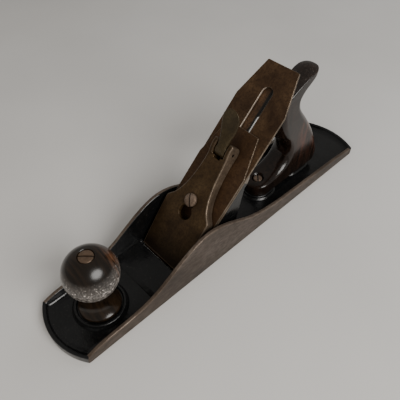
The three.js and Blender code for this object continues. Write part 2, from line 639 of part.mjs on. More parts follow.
function springRivet() {
  const roof = CAP_NECK_TOP - CAP.skin - 1.2;
  return turned([
    [0, roof - 2.3], [3, roof - 2.3], [3, roof - 1.3],
    [1.4, roof - 1.3], [1.4, SPRING_RIVET.top], [0, SPRING_RIVET.top],
  ]);
}

bed.add(named('spring_rivet', springRivet().translate([SPRING_RIVET.s, 0, 0]), rustyCap()));

const clampScrew = slottedScrew({ head: 5.5, height: 3.2, shank: 3, length: 19.5, slot: 1.3, dome: 1.4 })
  .rotate([0, 0, 34]);
bed.add(named('lever_cap_screw', clampScrew.translate([CLAMP_S, 0, CLAMP_HEAD]), wornSteel()));

// ---- knob ----

function knob() {
  const bottom = RING.seat + GAP;
  const profile = new THREE.CurvePath();
  const vector = (radius, height) => new THREE.Vector2(radius, height);
  const lowAngle = -0.98;
  const ballFoot = vector(KNOB.ball * Math.cos(lowAngle), KNOB.ballZ + KNOB.ball * Math.sin(lowAngle));
  const points = [vector(KNOB.bore, bottom), vector(KNOB.base, bottom), vector(KNOB.base, bottom + 3)];
  profile.add(new THREE.CubicBezierCurve(vector(KNOB.base, bottom + 3), vector(KNOB.base - 4, bottom + 9),
    vector(KNOB.neck, bottom + 12), vector(KNOB.neck, bottom + 19)));
  profile.add(new THREE.QuadraticBezierCurve(vector(KNOB.neck, bottom + 19),
    vector(KNOB.neck, ballFoot.y - 1.5), ballFoot));
  points.push(...profile.getPoints(4).slice(1));
  const topAngle = Math.asin((KNOB.top - KNOB.ballZ) / KNOB.ball);
  const steps = 11;
  for (let i = 1; i <= steps; i += 1) {
    const angle = lowAngle + (topAngle - lowAngle) * i / steps;
    points.push(vector(KNOB.ball * Math.cos(angle), KNOB.ballZ + KNOB.ball * Math.sin(angle)));
  }
  points.push(vector(KNOB.nut + 0.5, KNOB.top), vector(KNOB.nut + 0.5, KNOB.top - KNOB.sink));
  points.push(vector(KNOB.bore + 1.4, KNOB.top - KNOB.sink), vector(KNOB.bore + 1.4, KNOB.top - 22));
  points.push(vector(KNOB.bore, KNOB.top - 22), vector(KNOB.bore, bottom));
  const geometry = new THREE.LatheGeometry(points, 28).rotateX(Math.PI / 2);
  return solid(geometry).translate([KNOB.x, 0, 0]);
}

// Barrel nut with a slotted head; z = 0 is under its head.
function barrelNut(head) {
  const bore = 2.9 + GAP;
  const body = turned([
    [bore, -15], [bore + 1.2, -15], [bore + 1.2, 0], [head, 0], [head, 2.2], [head - 0.9, 2.9], [0, 2.9],
    [0, -2], [bore, -2], [bore, -15],
  ]);
  return body.subtract(block([-0.8, 0.8], [-head - 1, head + 1], [1.6, 4]));
}

root.add(named('knob', knob(), darkWood()));
const knobSeatZ = KNOB.top - KNOB.sink + GAP;
const knobNut = barrelNut(KNOB.nut).rotate([0, 0, 46]);
root.add(named('knob_nut', knobNut.translate([KNOB.x, 0, knobSeatZ]), brass()));
root.add(named('knob_rod', rod(2.9, 2, knobSeatZ - 2.4, 16).translate([KNOB.x, 0, 0]), wornSteel()));

// ---- tote ----

function toteShape() {
  const z0 = TOTE.bottom - 4;
  const shape = new THREE.Shape();
  shape.moveTo(TOTE.nose, z0);
  shape.lineTo(-122, z0);
  shape.bezierCurveTo(-130, 12, -130, 24, -125.5, 36);
  shape.bezierCurveTo(-121, 50, -108, 66, -98, 78);
  shape.bezierCurveTo(-88, 90, -84, 98, -94, 105.5);
  shape.bezierCurveTo(-99, 109, -104, 110.5, -108, 112);
  shape.bezierCurveTo(-113, 114, -112.5, 120, -106, 121.8);
  shape.bezierCurveTo(-101, 123, -97, 121.9, -92, 119.4);
  shape.lineTo(-68, 107.3);
  shape.bezierCurveTo(-63, 105, -60.5, 101, -60.5, 94);
  shape.bezierCurveTo(-60.5, 82, -64, 68, -73, 56);
  shape.bezierCurveTo(-82, 46, -84, 36, -75, 29);
  shape.bezierCurveTo(-69, 24.5, -62, 21.6, -50, 20.5);
  shape.bezierCurveTo(-41, 20, TOTE.nose, 15, TOTE.nose, z0);
  return shape;
}

function tote() {
  const bevel = TOTE.edge;
  const geometry = new THREE.ExtrudeGeometry(toteShape(), {
    depth: TOTE.thick - 2 * bevel, curveSegments: 5,
    bevelEnabled: true, bevelThickness: bevel, bevelSize: 3, bevelOffset: -3, bevelSegments: 3,
  });
  const half = TOTE.thick / 2;
  const settings = { curveSegments: 7 };
  const roundEnds = joined(
    raised(slotShape(-160, TOTE.nose - TOTE.toe, TOTE.toe), 0, 30, settings),
    block([-160, TOTE.nose], [-20, 20], [30, 100]),
    raised(slotShape(TOTE.tip + half, TOTE.nose, half), 99, 140, settings),
  );
  const blank = solid(geometry.rotateX(Math.PI / 2).translate(0, half - bevel, 0)).intersect(roundEnds);
  const boreTool = toteAxis(rod(TOTE.bore, -20, 140));
  const length = Math.hypot(TOTE_ROD.topX - TOTE_ROD.footX, TOTE_ROD.topZ - TOTE_ROD.footZ);
  const barrel = toteAxis(rod(TOTE.bore + 1.4, length - 18, length + 20));
  const counterbore = toteAxis(rod(6.3, length - 0.5, length + 30));
  const screwHole = rod(2.4, 0, 40).translate([TOTE.screwX, 0, 0]);
  const screwSink = rod(5.9, TOTE.sink, 40).translate([TOTE.screwX, 0, 0]);
  const level = block([-160, -20], [-20, 20], [0, TOTE.bottom]);
  return cut(blank, boreTool, barrel, counterbore, screwHole, screwSink, level);
}

root.add(named('tote', tote(), darkWood()));
const rodLength = Math.hypot(TOTE_ROD.topX - TOTE_ROD.footX, TOTE_ROD.topZ - TOTE_ROD.footZ);
root.add(named('tote_rod', toteAxis(rod(2.9, -2.6, rodLength - 2.6, 16)), wornSteel()));
root.add(named('tote_nut', toteAxis(barrelNut(5.7).translate([0, 0, rodLength - 0.2])), brass()));
const toeScrew = slottedScrew({ head: 5.5, height: 2.8, shank: 2, length: 15.2, slot: 1.2, dome: 0.6 });
const toeScrewAt = [TOTE.screwX, 0, TOTE.sink + GAP];
root.add(named('tote_toe_screw', toeScrew.rotate([0, 0, -67]).translate(toeScrewAt), wornSteel()));

export default root;
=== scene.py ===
"""Bench plane of jack size: the visual model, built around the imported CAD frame.

Shapes are worked out in millimetres in the plane's own frame (+X toe, +Y left, +Z up, origin mid sole)
and written to the meshes in metres. Parts on the bed use bed coordinates: s up the bed from the cutting
edge, y across, o out of the bed.
"""

import json
from math import acos, asin, atan2, copysign, cos, hypot, pi, radians, sin, sqrt, tan

import bmesh
import bpy
from mathutils import Matrix, Vector
from mathutils.geometry import tessellate_polygon

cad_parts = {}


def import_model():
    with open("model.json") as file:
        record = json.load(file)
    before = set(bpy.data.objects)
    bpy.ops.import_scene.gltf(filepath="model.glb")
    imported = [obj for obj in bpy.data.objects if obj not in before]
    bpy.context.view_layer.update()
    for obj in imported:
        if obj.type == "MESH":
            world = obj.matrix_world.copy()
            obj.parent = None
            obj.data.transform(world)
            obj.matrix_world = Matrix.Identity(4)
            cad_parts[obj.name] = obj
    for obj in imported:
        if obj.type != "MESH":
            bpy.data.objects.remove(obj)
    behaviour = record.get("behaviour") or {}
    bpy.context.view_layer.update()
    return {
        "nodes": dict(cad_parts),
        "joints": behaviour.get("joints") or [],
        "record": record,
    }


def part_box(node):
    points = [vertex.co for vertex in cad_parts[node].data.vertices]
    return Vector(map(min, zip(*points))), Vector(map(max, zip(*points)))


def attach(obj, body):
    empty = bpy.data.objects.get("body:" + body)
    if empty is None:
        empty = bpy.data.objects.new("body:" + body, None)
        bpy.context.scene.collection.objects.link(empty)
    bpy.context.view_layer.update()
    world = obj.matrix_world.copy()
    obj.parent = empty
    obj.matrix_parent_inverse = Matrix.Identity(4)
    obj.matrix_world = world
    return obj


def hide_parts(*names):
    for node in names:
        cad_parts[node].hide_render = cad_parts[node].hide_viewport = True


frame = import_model()

MM = 0.001
EDGE_X = 71.2  # where the bed's upper plane meets the sole
K = sqrt(0.5)

# ---- coordinates


def at_joint(name):
    """A hinge's point, in millimetres."""
    joint = next(j for j in frame["joints"] if j["name"] == name)
    return Vector(joint["pos_m"]) / MM


def from_bed(s, y, o):
    return Vector((EDGE_X - K * s + K * o, y, K * (s + o)))


TOEWARD, LEFT, UP = (1, 0, 0), (0, 1, 0), (0, 0, 1)
BED_OUT = Vector((K, 0, K))
BED_UP = Vector((-K, 0, K))
BED = Matrix((
    (-K, 0, K, EDGE_X),
    (0, 1, 0, 0),
    (K, 0, K, 0),
    (0, 0, 0, 1),
))  # takes (s, y, o) to the plane's frame; it mirrors, so face normals are made consistent afterwards


def axis_frame(origin, axis, slot_along=(1, 0, 0)):
    """A matrix whose z runs along axis, and whose x lies as close as can be to slot_along."""
    z = Vector(axis).normalized()
    x = Vector(slot_along)
    x = (x - z * x.dot(z)).normalized()
    y = z.cross(x)
    rows = [[x[i], y[i], z[i], origin[i]] for i in range(3)]
    return Matrix(rows + [[0, 0, 0, 1]])


# ---- curves


def bezier(p0, p1, p2, p3, steps=12):
    """Points of a cubic after its first one."""
    points = []
    for i in range(1, steps + 1):
        t = i / steps
        a, b, c, d = (1 - t) ** 3, 3 * t * (1 - t) ** 2, 3 * t * t * (1 - t), t ** 3
        points.append((a * p0[0] + b * p1[0] + c * p2[0] + d * p3[0],
                       a * p0[1] + b * p1[1] + c * p2[1] + d * p3[1]))
    return points


def path(start, *pieces, steps=12):
    """A polyline from start: each piece is a point, or three points of a cubic."""
    points = [start]
    for piece in pieces:
        if len(piece) == 3:
            points += bezier(points[-1], *piece, steps=steps)
        else:
            points.append(piece)
    return points


def rounded(corners, steps=6):
    """A closed outline from (x, y, radius) corners, each rounded with an arc of that radius."""
    out = []
    count = len(corners)
    for i, (x, y, radius) in enumerate(corners):
        here = Vector((x, y))
        back = Vector(corners[i - 1][:2]) - here
        ahead = Vector(corners[(i + 1) % count][:2]) - here
        if radius <= 0:
            out.append((x, y))
            continue
        back, ahead, reach = back.normalized(), ahead.normalized(), min(back.length, ahead.length)
        half = acos(max(-1, min(1, back.dot(ahead)))) / 2
        if half > pi / 2 - 0.02:
            out.append((x, y))
            continue
        cut = min(radius / tan(half), reach * 0.49)
        radius = cut * tan(half)
        centre = here + (back + ahead).normalized() * (radius / sin(half))
        start, end = here + back * cut - centre, here + ahead * cut - centre
        turn = atan2(start.x * end.y - start.y * end.x, start.dot(end))
        for k in range(steps + 1):
            angle = turn * k / steps
            c, n = cos(angle), sin(angle)
            out.append((centre.x + start.x * c - start.y * n, centre.y + start.x * n + start.y * c))
    return out


def stadium(low, high, radius, steps):
    """A slot outline along the first axis, with round ends centred at low and high."""
    points = []
    for centre, first in ((high, -pi / 2), (low, pi / 2)):
        for k in range(steps + 1):
            angle = first + pi * k / steps
            points.append((centre + radius * cos(angle), radius * sin(angle)))
    return points


def circle(x, y, radius, steps):
    return [(x + radius * cos(2 * pi * k / steps), y + radius * sin(2 * pi * k / steps))
            for k in range(steps)]


def mirrored(half):
    """Closes half an outline with its mirror image across the plane's middle."""
    return half + [(x, -y, *more) for x, y, *more in half[::-1]]


def quarter(k, steps):
    """Step k of a quarter turn, in radians."""
    return pi / 2 * k / steps


def clamp(value):
    return max(0.0, min(1.0, value))


def area(loop):
    return sum(a[0] * b[1] - b[0] * a[1] for a, b in zip(loop, loop[1:] + loop[:1])) / 2


def corner_normals(loop):
    """For each corner, the unit normal on the loop's left, and its cosine with that of the side before."""
    out = []
    for i, point in enumerate(loop):
        here = Vector(point)
        a, b = here - Vector(loop[i - 1]), Vector(loop[(i + 1) % len(loop)]) - here
        before = Vector((-a.y, a.x)).normalized()
        normal = before + Vector((-b.y, b.x)).normalized()
        if normal.length < 1e-6:
            normal = before.copy()
        normal.normalize()
        out.append((normal, normal.dot(before)))
    return out


def inset(loop, distance):
    """The outline moved inwards by distance, mitred at its corners."""
    side = 1 if area(loop) > 0 else -1
    return [tuple(Vector(point) + normal * (side * distance / max(0.35, lean)))
            for point, (normal, lean) in zip(loop, corner_normals(loop))]


# ---- mesh building


MERGE = 1e-3  # points closer than this, in millimetres, become one
TINY = 1e-4


def bisect(bm, point, normal, **more):
    """Cuts every face that a plane crosses, and keeps both sides."""
    parts = bm.verts[:] + bm.edges[:] + bm.faces[:]
    bmesh.ops.bisect_plane(bm, geom=parts, plane_co=point, plane_no=normal, **more)


class Shell:
    """Collects closed shells, in millimetres, into one mesh."""

    def __init__(self):
        self.bm = bmesh.new()
        self.mat = 0

    def loop(self, points):
        return [self.bm.verts.new(p) for p in points]

    def face(self, verts):
        try:
            made = self.bm.faces.new(verts)
        except ValueError:
            return
        made.material_index = self.mat

    def wall(self, a, b):
        for i in range(len(a)):
            j = (i + 1) % len(a)
            self.face((a[i], a[j], b[j], b[i]))

    def walls(self, loops):
        for a, b in zip(loops, loops[1:]):
            self.wall(a, b)

    def lid(self, outer, *holes):
        """Fills a flat or gently curved region between loops of vertices."""
        loops = [outer, *holes]
        flat = [v for loop in loops for v in loop]
        for triangle in tessellate_polygon([[v.co for v in loop] for loop in loops]):
            self.face([flat[i] for i in triangle])

    def bend(self, moves):
        """Moves each vertex by a function of its place."""
        for v in self.bm.verts:
            v.co = moves(v.co)

    def slice(self, point, normal):
        bisect(self.bm, point, normal, dist=TINY)

    def object(self, name, materials, place=None, sharp=35, weighted=True):
        bm = self.bm
        bmesh.ops.remove_doubles(bm, verts=bm.verts[:], dist=MERGE)
        bmesh.ops.dissolve_degenerate(bm, edges=bm.edges[:], dist=TINY)
        if place is not None:
            bm.transform(place)
        bm.transform(Matrix.Scale(MM, 4))
        bmesh.ops.recalc_face_normals(bm, faces=bm.faces[:])
        mesh = bpy.data.meshes.new(name)
        bm.to_mesh(mesh)
        bm.free()
        return mesh_object(name, mesh, materials, sharp, weighted)


def mesh_object(name, mesh, materials, sharp=35, weighted=True):
    for material in materials:
        mesh.materials.append(material)
    obj = bpy.data.objects.new(name, mesh)
    bpy.context.scene.collection.objects.link(obj)
    shade(obj, sharp, weighted)
    return obj


def shade(obj, sharp, weighted=True):
    """Smooth shading, broken at edges sharper than this angle in degrees."""
    mesh = obj.data
    mesh.polygons.foreach_set("use_smooth", [True] * len(mesh.polygons))
    mesh.set_sharp_from_angle(angle=radians(sharp))
    if weighted:
        modifier = obj.modifiers.new("normals", "WEIGHTED_NORMAL")
        modifier.keep_sharp = True
        modifier.weight = 60


def place_piece(obj, body, node):
    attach(obj, body)
    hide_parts(node)


def plate(shell, outline, holes, low, high, edge):
    """A flat plate between low and high with round edges, whose sides take the second material."""
    rims = []
    steps = 4
    shell.mat = 1
    for points, direction in [(outline, 1)] + [(h, -1) for h in holes]:
        loops = []
        for k in range(steps + 1):
            a = quarter(k, steps)
            ring = inset(points, direction * edge * (1 - sin(a)))
            loops.append((ring, edge * (1 - cos(a))))
        made = [shell.loop([(x, y, low + rise) for x, y in ring]) for ring, rise in loops]
        made += [shell.loop([(x, y, high - rise) for x, y in ring]) for ring, rise in loops[::-1]]
        shell.walls(made)
        rims.append((made[0], made[-1]))
    shell.mat = 0
    shell.lid(*[r[0] for r in rims])
    shell.lid(*[r[1] for r in rims])


def lathe(shell, profile, sides, centre=(0, 0), wobble=None):
    """Revolves (radius, height) points about z. Points on the axis close the form."""
    rings = []
    for radius, height in profile:
        if radius < 1e-6:
            rings.append([shell.bm.verts.new((centre[0], centre[1], height))])
            continue
        ring = []
        for k in range(sides):
            angle = 2 * pi * k / sides
            r = radius if wobble is None else radius + wobble(k, radius, height)
            place = (centre[0] + r * cos(angle), centre[1] + r * sin(angle), height)
            ring.append(shell.bm.verts.new(place))
        rings.append(ring)
    pairs = list(zip(rings, rings[1:]))
    if len(rings[0]) > 1 and len(rings[-1]) > 1:
        pairs.append((rings[-1], rings[0]))
    for a, b in pairs:
        if len(a) == 1 and len(b) == 1:
            continue
        for k in range(sides):
            j = (k + 1) % sides
            if len(a) == 1:
                shell.face((a[0], b[k], b[j]))
            elif len(b) == 1:
                shell.face((a[k], a[j], b[0]))
            else:
                shell.face((a[k], a[j], b[j], b[k]))


def across(shell, outline, half):
    """A solid with an (x, z) outline, from -half to half across the plane."""
    loft(shell, [[(x, y, z) for x, z in outline] for y in (-half, half)])


def loft(shell, sections):
    """Joins closed sections of equal count, and closes both ends."""
    loops = [shell.loop(section) for section in sections]
    shell.walls(loops)
    shell.lid(loops[0])
    shell.lid(loops[-1])


def box_tool(low, high, place):
    """A plain cutting block for a slot, in millimetres. It is removed after use."""
    shell = Shell()
    corners = ((low[0], low[1]), (high[0], low[1]), (high[0], high[1]), (low[0], high[1]))
    loft(shell, [[(x, y, z) for x, y in corners] for z in (low[2], high[2])])
    return shell.object("slot_tool", [], place, weighted=False)


def applied(obj):
    """Applies the object's modifiers to its mesh."""
    graph = bpy.context.evaluated_depsgraph_get()
    mesh = bpy.data.meshes.new_from_object(obj.evaluated_get(graph))
    obj.modifiers.clear()
    old = obj.data
    obj.data = mesh
    bpy.data.meshes.remove(old)


def carve(obj, tool):
    modifier = obj.modifiers.new("carve", "BOOLEAN")
    modifier.operation = "DIFFERENCE"
    modifier.solver = "EXACT"
    modifier.object = tool
    bpy.context.view_layer.update()
    applied(obj)
    bpy.data.objects.remove(tool)


def soften(obj, width, angle=50, segments=2):
    modifier = obj.modifiers.new("edges", "BEVEL")
    modifier.width = width * MM
    modifier.segments = segments
    modifier.limit_method = "ANGLE"
    modifier.angle_limit = radians(angle)
    bpy.context.view_layer.update()
    applied(obj)


# ---- materials


class Graph:
    """A short way to write a material's nodes."""

    def __init__(self, name):
        self.material = bpy.data.materials.new(name)
        self.material.use_nodes = True
        self.tree = self.material.node_tree
        self.shader = self.tree.nodes["Principled BSDF"]
        where = self.tree.nodes.new("ShaderNodeTexCoord").outputs["Object"]
        self.place = self.node(
            "ShaderNodeVectorMath", {0: where, "Scale": 1 / MM}, operation="SCALE").outputs[0]

    def node(self, kind, inputs=None, **settings):
        made = self.tree.nodes.new(kind)
        for key, value in settings.items():
            setattr(made, key, value)
        for key, value in (inputs or {}).items():
            self.set(made.inputs[key], value)
        return made

    def set(self, socket, value):
        if isinstance(value, bpy.types.NodeSocket):
            self.tree.links.new(value, socket)
        elif socket.type == "RGBA" and len(value) == 3:
            socket.default_value = (*value, 1)
        else:
            socket.default_value = value

    def noise(self, scale, detail=4, rough=0.55, stretch=(1, 1, 1), distort=0.0):
        """Noise with scale in features per millimetre, stretched by a factor on each axis."""
        place = self.place
        if stretch != (1, 1, 1):
            place = self.node("ShaderNodeVectorMath", {0: place, 1: stretch}, operation="MULTIPLY").outputs[0]
        made = self.node("ShaderNodeTexNoise", {"Vector": place, "Scale": scale, "Detail": detail,
                                                "Roughness": rough, "Distortion": distort})
        return made.outputs["Fac"]

    def ramp(self, value, *stops):
        made = self.node("ShaderNodeValToRGB", {"Fac": value})
        elements = made.color_ramp.elements
        while len(elements) < len(stops):
            elements.new(0.5)
        for element, (position, colour) in zip(elements, stops):
            element.position = position
            if isinstance(colour, (int, float)):
                colour = (colour,) * 3
            element.color = (*colour, 1)
        return made.outputs["Color"]

    def mix(self, factor, a, b):
        made = self.node("ShaderNodeMix", data_type="RGBA")
        for socket, value in ((made.inputs["Factor"], factor), (made.inputs[6], a), (made.inputs[7], b)):
            self.set(socket, value)
        return made.outputs[2]

    def math(self, operation, a, b=0.0):
        return self.node("ShaderNodeMath", {0: a, 1: b}, operation=operation, use_clamp=True).outputs[0]

    def axis(self, index):
        return self.node("ShaderNodeSeparateXYZ", {0: self.place}).outputs[index]

    def band(self, value, low, high):
        """0 below low, 1 above high."""
        made = self.node("ShaderNodeMapRange", {"Value": value, "From Min": low, "From Max": high})
        return made.outputs["Result"]

    def bump(self, height, strength, distance):
        inputs = {"Height": height, "Strength": strength, "Distance": distance * MM}
        return self.node("ShaderNodeBump", inputs).outputs["Normal"]

    def surface(self, color, normal, **inputs):
        names = {"metallic": "Metallic", "roughness": "Roughness", "specular": "Specular IOR Level"}
        self.set(self.shader.inputs["Base Color"], color)
        self.set(self.shader.inputs["Normal"], normal)
        for key, value in inputs.items():
            self.set(self.shader.inputs[names[key]], value)
        return self.material


def patina(name, deep, mid, high, fleck, metallic, rough, grain=(1, 1, 1), painted_shade_heights=None):
    """Steel or iron under a thin brown patina: soft cloudy tone, fine pits, and pale flecks."""
    g = Graph(name)
    cloud = g.noise(0.045, 5, 0.6, grain, 0.6)
    fine = g.noise(0.55, 6, 0.65, grain)
    speck = g.noise(1.7, 3, 0.6)
    base = g.ramp(cloud, (0.3, deep), (0.52, mid), (0.74, high))
    base = g.mix(g.ramp(fine, (0.42, 0.0), (0.66, 0.75)), base, deep)
    base = g.mix(g.ramp(speck, (0.66, 0.0), (0.76, 0.55)), base, fleck)
    blotch = g.noise(0.16, 4, 0.7, grain, 1.2)
    base = g.mix(g.ramp(blotch, (0.5, 0.0), (0.72, 0.4)), base, mid)
    if painted_shade_heights is not None:
        # painted shade: the colour darkens towards the bottom, from the first given height down to the second
        painted_shade_amount = g.math("MULTIPLY", g.band(g.axis(2), *painted_shade_heights), 0.8)
        base = g.mix(painted_shade_amount, base, tuple(0.3 * c for c in deep))
    roughness = g.ramp(fine, (0.3, rough[0]), (0.7, rough[1]))
    height = g.math("ADD", g.math("MULTIPLY", fine, 0.7), g.math("MULTIPLY", speck, 0.3))
    normal = g.bump(height, 0.35, 0.12)
    return g.surface(color=base, metallic=metallic, roughness=roughness, normal=normal)


def japanning(name):
    """Glossy black baked paint with dust, fine scratches and dull patches."""
    g = Graph(name)
    cloud = g.noise(0.05, 5, 0.6, (1, 1, 1), 0.5)
    fine = g.noise(0.9, 5, 0.6)
    dust = g.noise(1.4, 2, 0.5)
    base = g.ramp(cloud, (0.35, (0.0022, 0.0023, 0.0025)), (0.7, (0.005, 0.0052, 0.0055)))
    base = g.mix(g.ramp(dust, (0.66, 0.0), (0.76, 0.5)), base, (0.11, 0.1, 0.085))
    scuff = g.noise(0.12, 6, 0.75, (0.5, 1, 1), 1.0)
    base = g.mix(g.ramp(scuff, (0.65, 0.0), (0.8, 0.5)), base, (0.03, 0.021, 0.015))
    roughness = g.ramp(cloud, (0.3, 0.14), (0.75, 0.3))
    roughness = g.mix(g.ramp(scuff, (0.62, 0.0), (0.78, 0.6)), roughness, (0.5, 0.5, 0.5))
    ripple = g.noise(0.2, 3, 0.5, (1, 1, 1), 0.4)
    height = g.math("ADD", g.math("MULTIPLY", ripple, 0.85), g.math("MULTIPLY", fine, 0.22))
    normal = g.bump(height, 0.5, 0.6)
    return g.surface(color=base, roughness=roughness, normal=normal, specular=0.42)


def lacquered_wood(name, deep, mid, red, wear, stretch, worn_zones, amount, speckle, red_zones, gloss):
    """Dark varnished hardwood with straight grain, wear, and painted glints in the worn zones.

    A zone is an axis, the place on it where the effect starts, and the place where it is full.
    """
    g = Graph(name)
    grain = g.noise(0.3, 4, 0.5, stretch, 0.2)
    pores = g.noise(1.5, 2, 0.5, stretch)
    tone = g.noise(0.035, 3, 0.5, (1, 1, 1), 0.4)
    streak = g.ramp(grain, (0.4, 0.0), (0.68, 1.0))
    for axis, start, full in red_zones:
        streak = g.math("MULTIPLY", streak, g.band(g.axis(axis), start, full))
    base = g.ramp(grain, (0.34, deep), (0.7, mid))
    base = g.mix(streak, base, red)
    base = g.mix(g.ramp(tone, (0.42, 0.0), (0.68, 0.75)), base, deep)
    base = g.mix(g.ramp(pores, (0.56, 0.0), (0.7, 0.5)), base, deep)
    speck = g.noise(speckle, 8, 0.72, (1, 1, 1), 0.5)
    worn = g.ramp(speck, (0.42, 0.14 * amount), (0.56, 0.36 * amount), (0.68, amount))
    # painted glints: bright specks in the worn zones stand in for small highlights
    painted_glint = g.ramp(g.noise(0.7, 2, 0.5), (0.63, 0.0), (0.7, amount))
    for axis, start, full in worn_zones:
        band = g.band(g.axis(axis), start, full)
        worn, painted_glint = g.math("MULTIPLY", worn, band), g.math("MULTIPLY", painted_glint, band)
    base = g.mix(worn, base, wear)
    base = g.mix(painted_glint, base, tuple(min(0.8, 2.4 * c) for c in wear))
    roughness = g.mix(worn, g.ramp(tone, (0.4, gloss[0]), (0.7, gloss[1])), (0.5, 0.5, 0.5))
    height = g.math("ADD", g.math("MULTIPLY", pores, 0.2), g.math("MULTIPLY", worn, 0.5))
    normal = g.bump(height, 0.22, 0.15)
    return g.surface(color=base, roughness=roughness, normal=normal, specular=0.4)


JAPAN = japanning("japanning")
CHEEK = patina("worn_iron", (0.025, 0.017, 0.012), (0.058, 0.041, 0.03), (0.092, 0.071, 0.058),
               (0.17, 0.14, 0.12), 0.35, (0.42, 0.62), (0.35, 1, 1))
IRON = patina("iron_patina", (0.028, 0.0135, 0.006), (0.076, 0.042, 0.02), (0.12, 0.07, 0.034),
              (0.13, 0.085, 0.05), 0.6, (0.38, 0.56))
BREAKER = patina("breaker_patina", (0.028, 0.013, 0.006), (0.07, 0.037, 0.017), (0.105, 0.06, 0.03),
                 (0.14, 0.09, 0.055), 0.6, (0.38, 0.55))
# the cap's lower end gets painted shade, darkest at the bottom
CAP_SKIN = patina("cap_patina", (0.022, 0.0115, 0.0045), (0.06, 0.035, 0.0145), (0.1, 0.062, 0.028),
                  (0.12, 0.08, 0.05), 0.6, (0.34, 0.5), painted_shade_heights=(27, 11))
CAP_EDGE = patina("cap_edge", (0.055, 0.038, 0.025), (0.125, 0.092, 0.063), (0.2, 0.15, 0.108),
                  (0.26, 0.2, 0.15), 0.6, (0.36, 0.5))
WORN_EDGE = patina("worn_edge", (0.06, 0.042, 0.027), (0.15, 0.112, 0.078), (0.27, 0.21, 0.155),
                   (0.4, 0.33, 0.26), 0.65, (0.32, 0.46))
# painted highlight, for the wall of the cutter's slot that faces the window light
PAINTED_HIGHLIGHT = patina(
    "painted_slot_highlight", (0.2, 0.16, 0.12), (0.45, 0.38, 0.32), (0.68, 0.6, 0.52), (0.9, 0.85, 0.8), 0.4,
    (0.3, 0.42))
RUST = patina(
    "rusty_strip", (0.022, 0.011, 0.005), (0.072, 0.038, 0.018), (0.15, 0.078, 0.036), (0.5, 0.34, 0.22), 0.4,
    (0.4, 0.56))
# the cheeks' top rims: worn metal, painted lighter also to stand for the highlight along the rim
RIM = patina("worn_rim_and_highlight", (0.045, 0.031, 0.022), (0.11, 0.082, 0.062), (0.18, 0.145, 0.115),
             (0.26, 0.22, 0.18), 0.5, (0.36, 0.52), (0.35, 1, 1))
CAM_SKIN = patina("cam_patina", (0.024, 0.016, 0.007), (0.056, 0.04, 0.018), (0.088, 0.064, 0.031),
                  (0.12, 0.09, 0.06), 0.55, (0.3, 0.46))
SCREW = patina("screw_steel", (0.085, 0.056, 0.038), (0.18, 0.128, 0.094), (0.27, 0.205, 0.16),
               (0.3, 0.24, 0.2), 0.6, (0.34, 0.52))
STEEL = patina("worn_steel", (0.05, 0.04, 0.032), (0.12, 0.10, 0.085), (0.2, 0.175, 0.15),
               (0.3, 0.27, 0.24), 0.7, (0.32, 0.5))
MACHINED = patina("machined_edge", (0.09, 0.075, 0.06), (0.19, 0.16, 0.13), (0.27, 0.23, 0.19),
                  (0.34, 0.3, 0.26), 0.6, (0.34, 0.5))
BRASS = patina("tarnished_brass", (0.10, 0.055, 0.028), (0.20, 0.12, 0.06), (0.30, 0.19, 0.10),
               (0.4, 0.28, 0.16), 0.8, (0.3, 0.5))
NUT = patina("nut_metal", (0.07, 0.044, 0.029), (0.135, 0.09, 0.06), (0.185, 0.13, 0.093),
             (0.26, 0.19, 0.16), 0.6, (0.34, 0.5))
KNOB_WOOD = lacquered_wood(
    "knob_wood", (0.0042, 0.0027, 0.0016), (0.018, 0.0105, 0.0055), (0.15, 0.07, 0.038), (0.3, 0.275, 0.255),
    (1.7, 0.1, 0.3), [(2, 62, 50), (2, 30, 37)], 0.95, 0.5, [(0, 127, 120), (1, -14, -4), (2, 44, 54)],
    (0.13, 0.24))
TOTE_WOOD = lacquered_wood(
    "tote_wood", (0.0045, 0.0028, 0.002), (0.016, 0.009, 0.0062), (0.085, 0.028, 0.015), (0.11, 0.09, 0.08),
    (1, 1, 0.12), [(2, 70, 112)], 0.13, 0.75, [(2, 10, 40), (2, 100, 70), (0, -88, -102)], (0.15, 0.26))
# painted shade: near-black, for screw slots, the shaded part of the lateral strip, and the plates' front ends
# at the mouth
PAINTED_SHADE = patina("painted_shade", (0.004, 0.003, 0.0025), (0.009, 0.007, 0.0055), (0.016, 0.012, 0.009),
               (0.03, 0.024, 0.02), 0.0, (0.6, 0.8))

# ---- body casting

BODY_HALF = (177.8, 31.75)
TOE_SAG, HEEL_SAG = 10.5, 8.6
WALL = 3.5
FLOOR = 4.2
CHEEK_CURVE = path(
    (178, 8), (167, 8), ((158, 12), (150, 12.4), (138, 12.9)), ((118, 13.6), (108, 16), (97, 22)),
    ((83, 30), (64, 46), (46, 46)), ((30, 46), (14, 35), (-4, 26)), ((-22, 18.5), (-42, 15.8), (-70, 14.9)),
    ((-100, 13.4), (-125, 12.4), (-140, 11)), (-168, 8.3), (-178, 8.3), steps=24)


def cheek_height(x):
    for (x1, z1), (x0, z0) in zip(CHEEK_CURVE, CHEEK_CURVE[1:]):
        if x0 <= x <= x1:
            return z0 + (z1 - z0) * (x - x0) / max(1e-9, x1 - x0)
    return 8.2


def plan_loop(side, toe, heel):
    """The sole's outline with its sides, toe and heel moved inwards by their own amounts."""
    half, width = BODY_HALF
    y = width - side
    steps, run = 40, 150  # points on each arc and along each side
    cut = 0.5  # what is cut off each corner
    arcs, corners = [], []
    for sign, sag, inward in ((1, TOE_SAG, toe), (-1, HEEL_SAG, heel)):
        radius = (width * width + sag * sag) / (2 * sag)
        centre, radius = half - radius, radius - inward
        angle = asin(y / radius)
        arcs.append((sign, centre, radius, angle))
        corners.append(sign * (centre + radius * cos(angle) - cut))
    points = []
    for (sign, centre, radius, angle), start, end in zip(arcs, corners, corners[::-1]):
        gap = cut / radius
        for k in range(steps + 1):
            a = sign * (-angle + gap + (2 * angle - 2 * gap) * k / steps)
            points.append((sign * (centre + radius * cos(a)), radius * sin(a)))
        points += [(start + (end - start) * k / run, sign * y) for k in range(run + 1)]
    return points


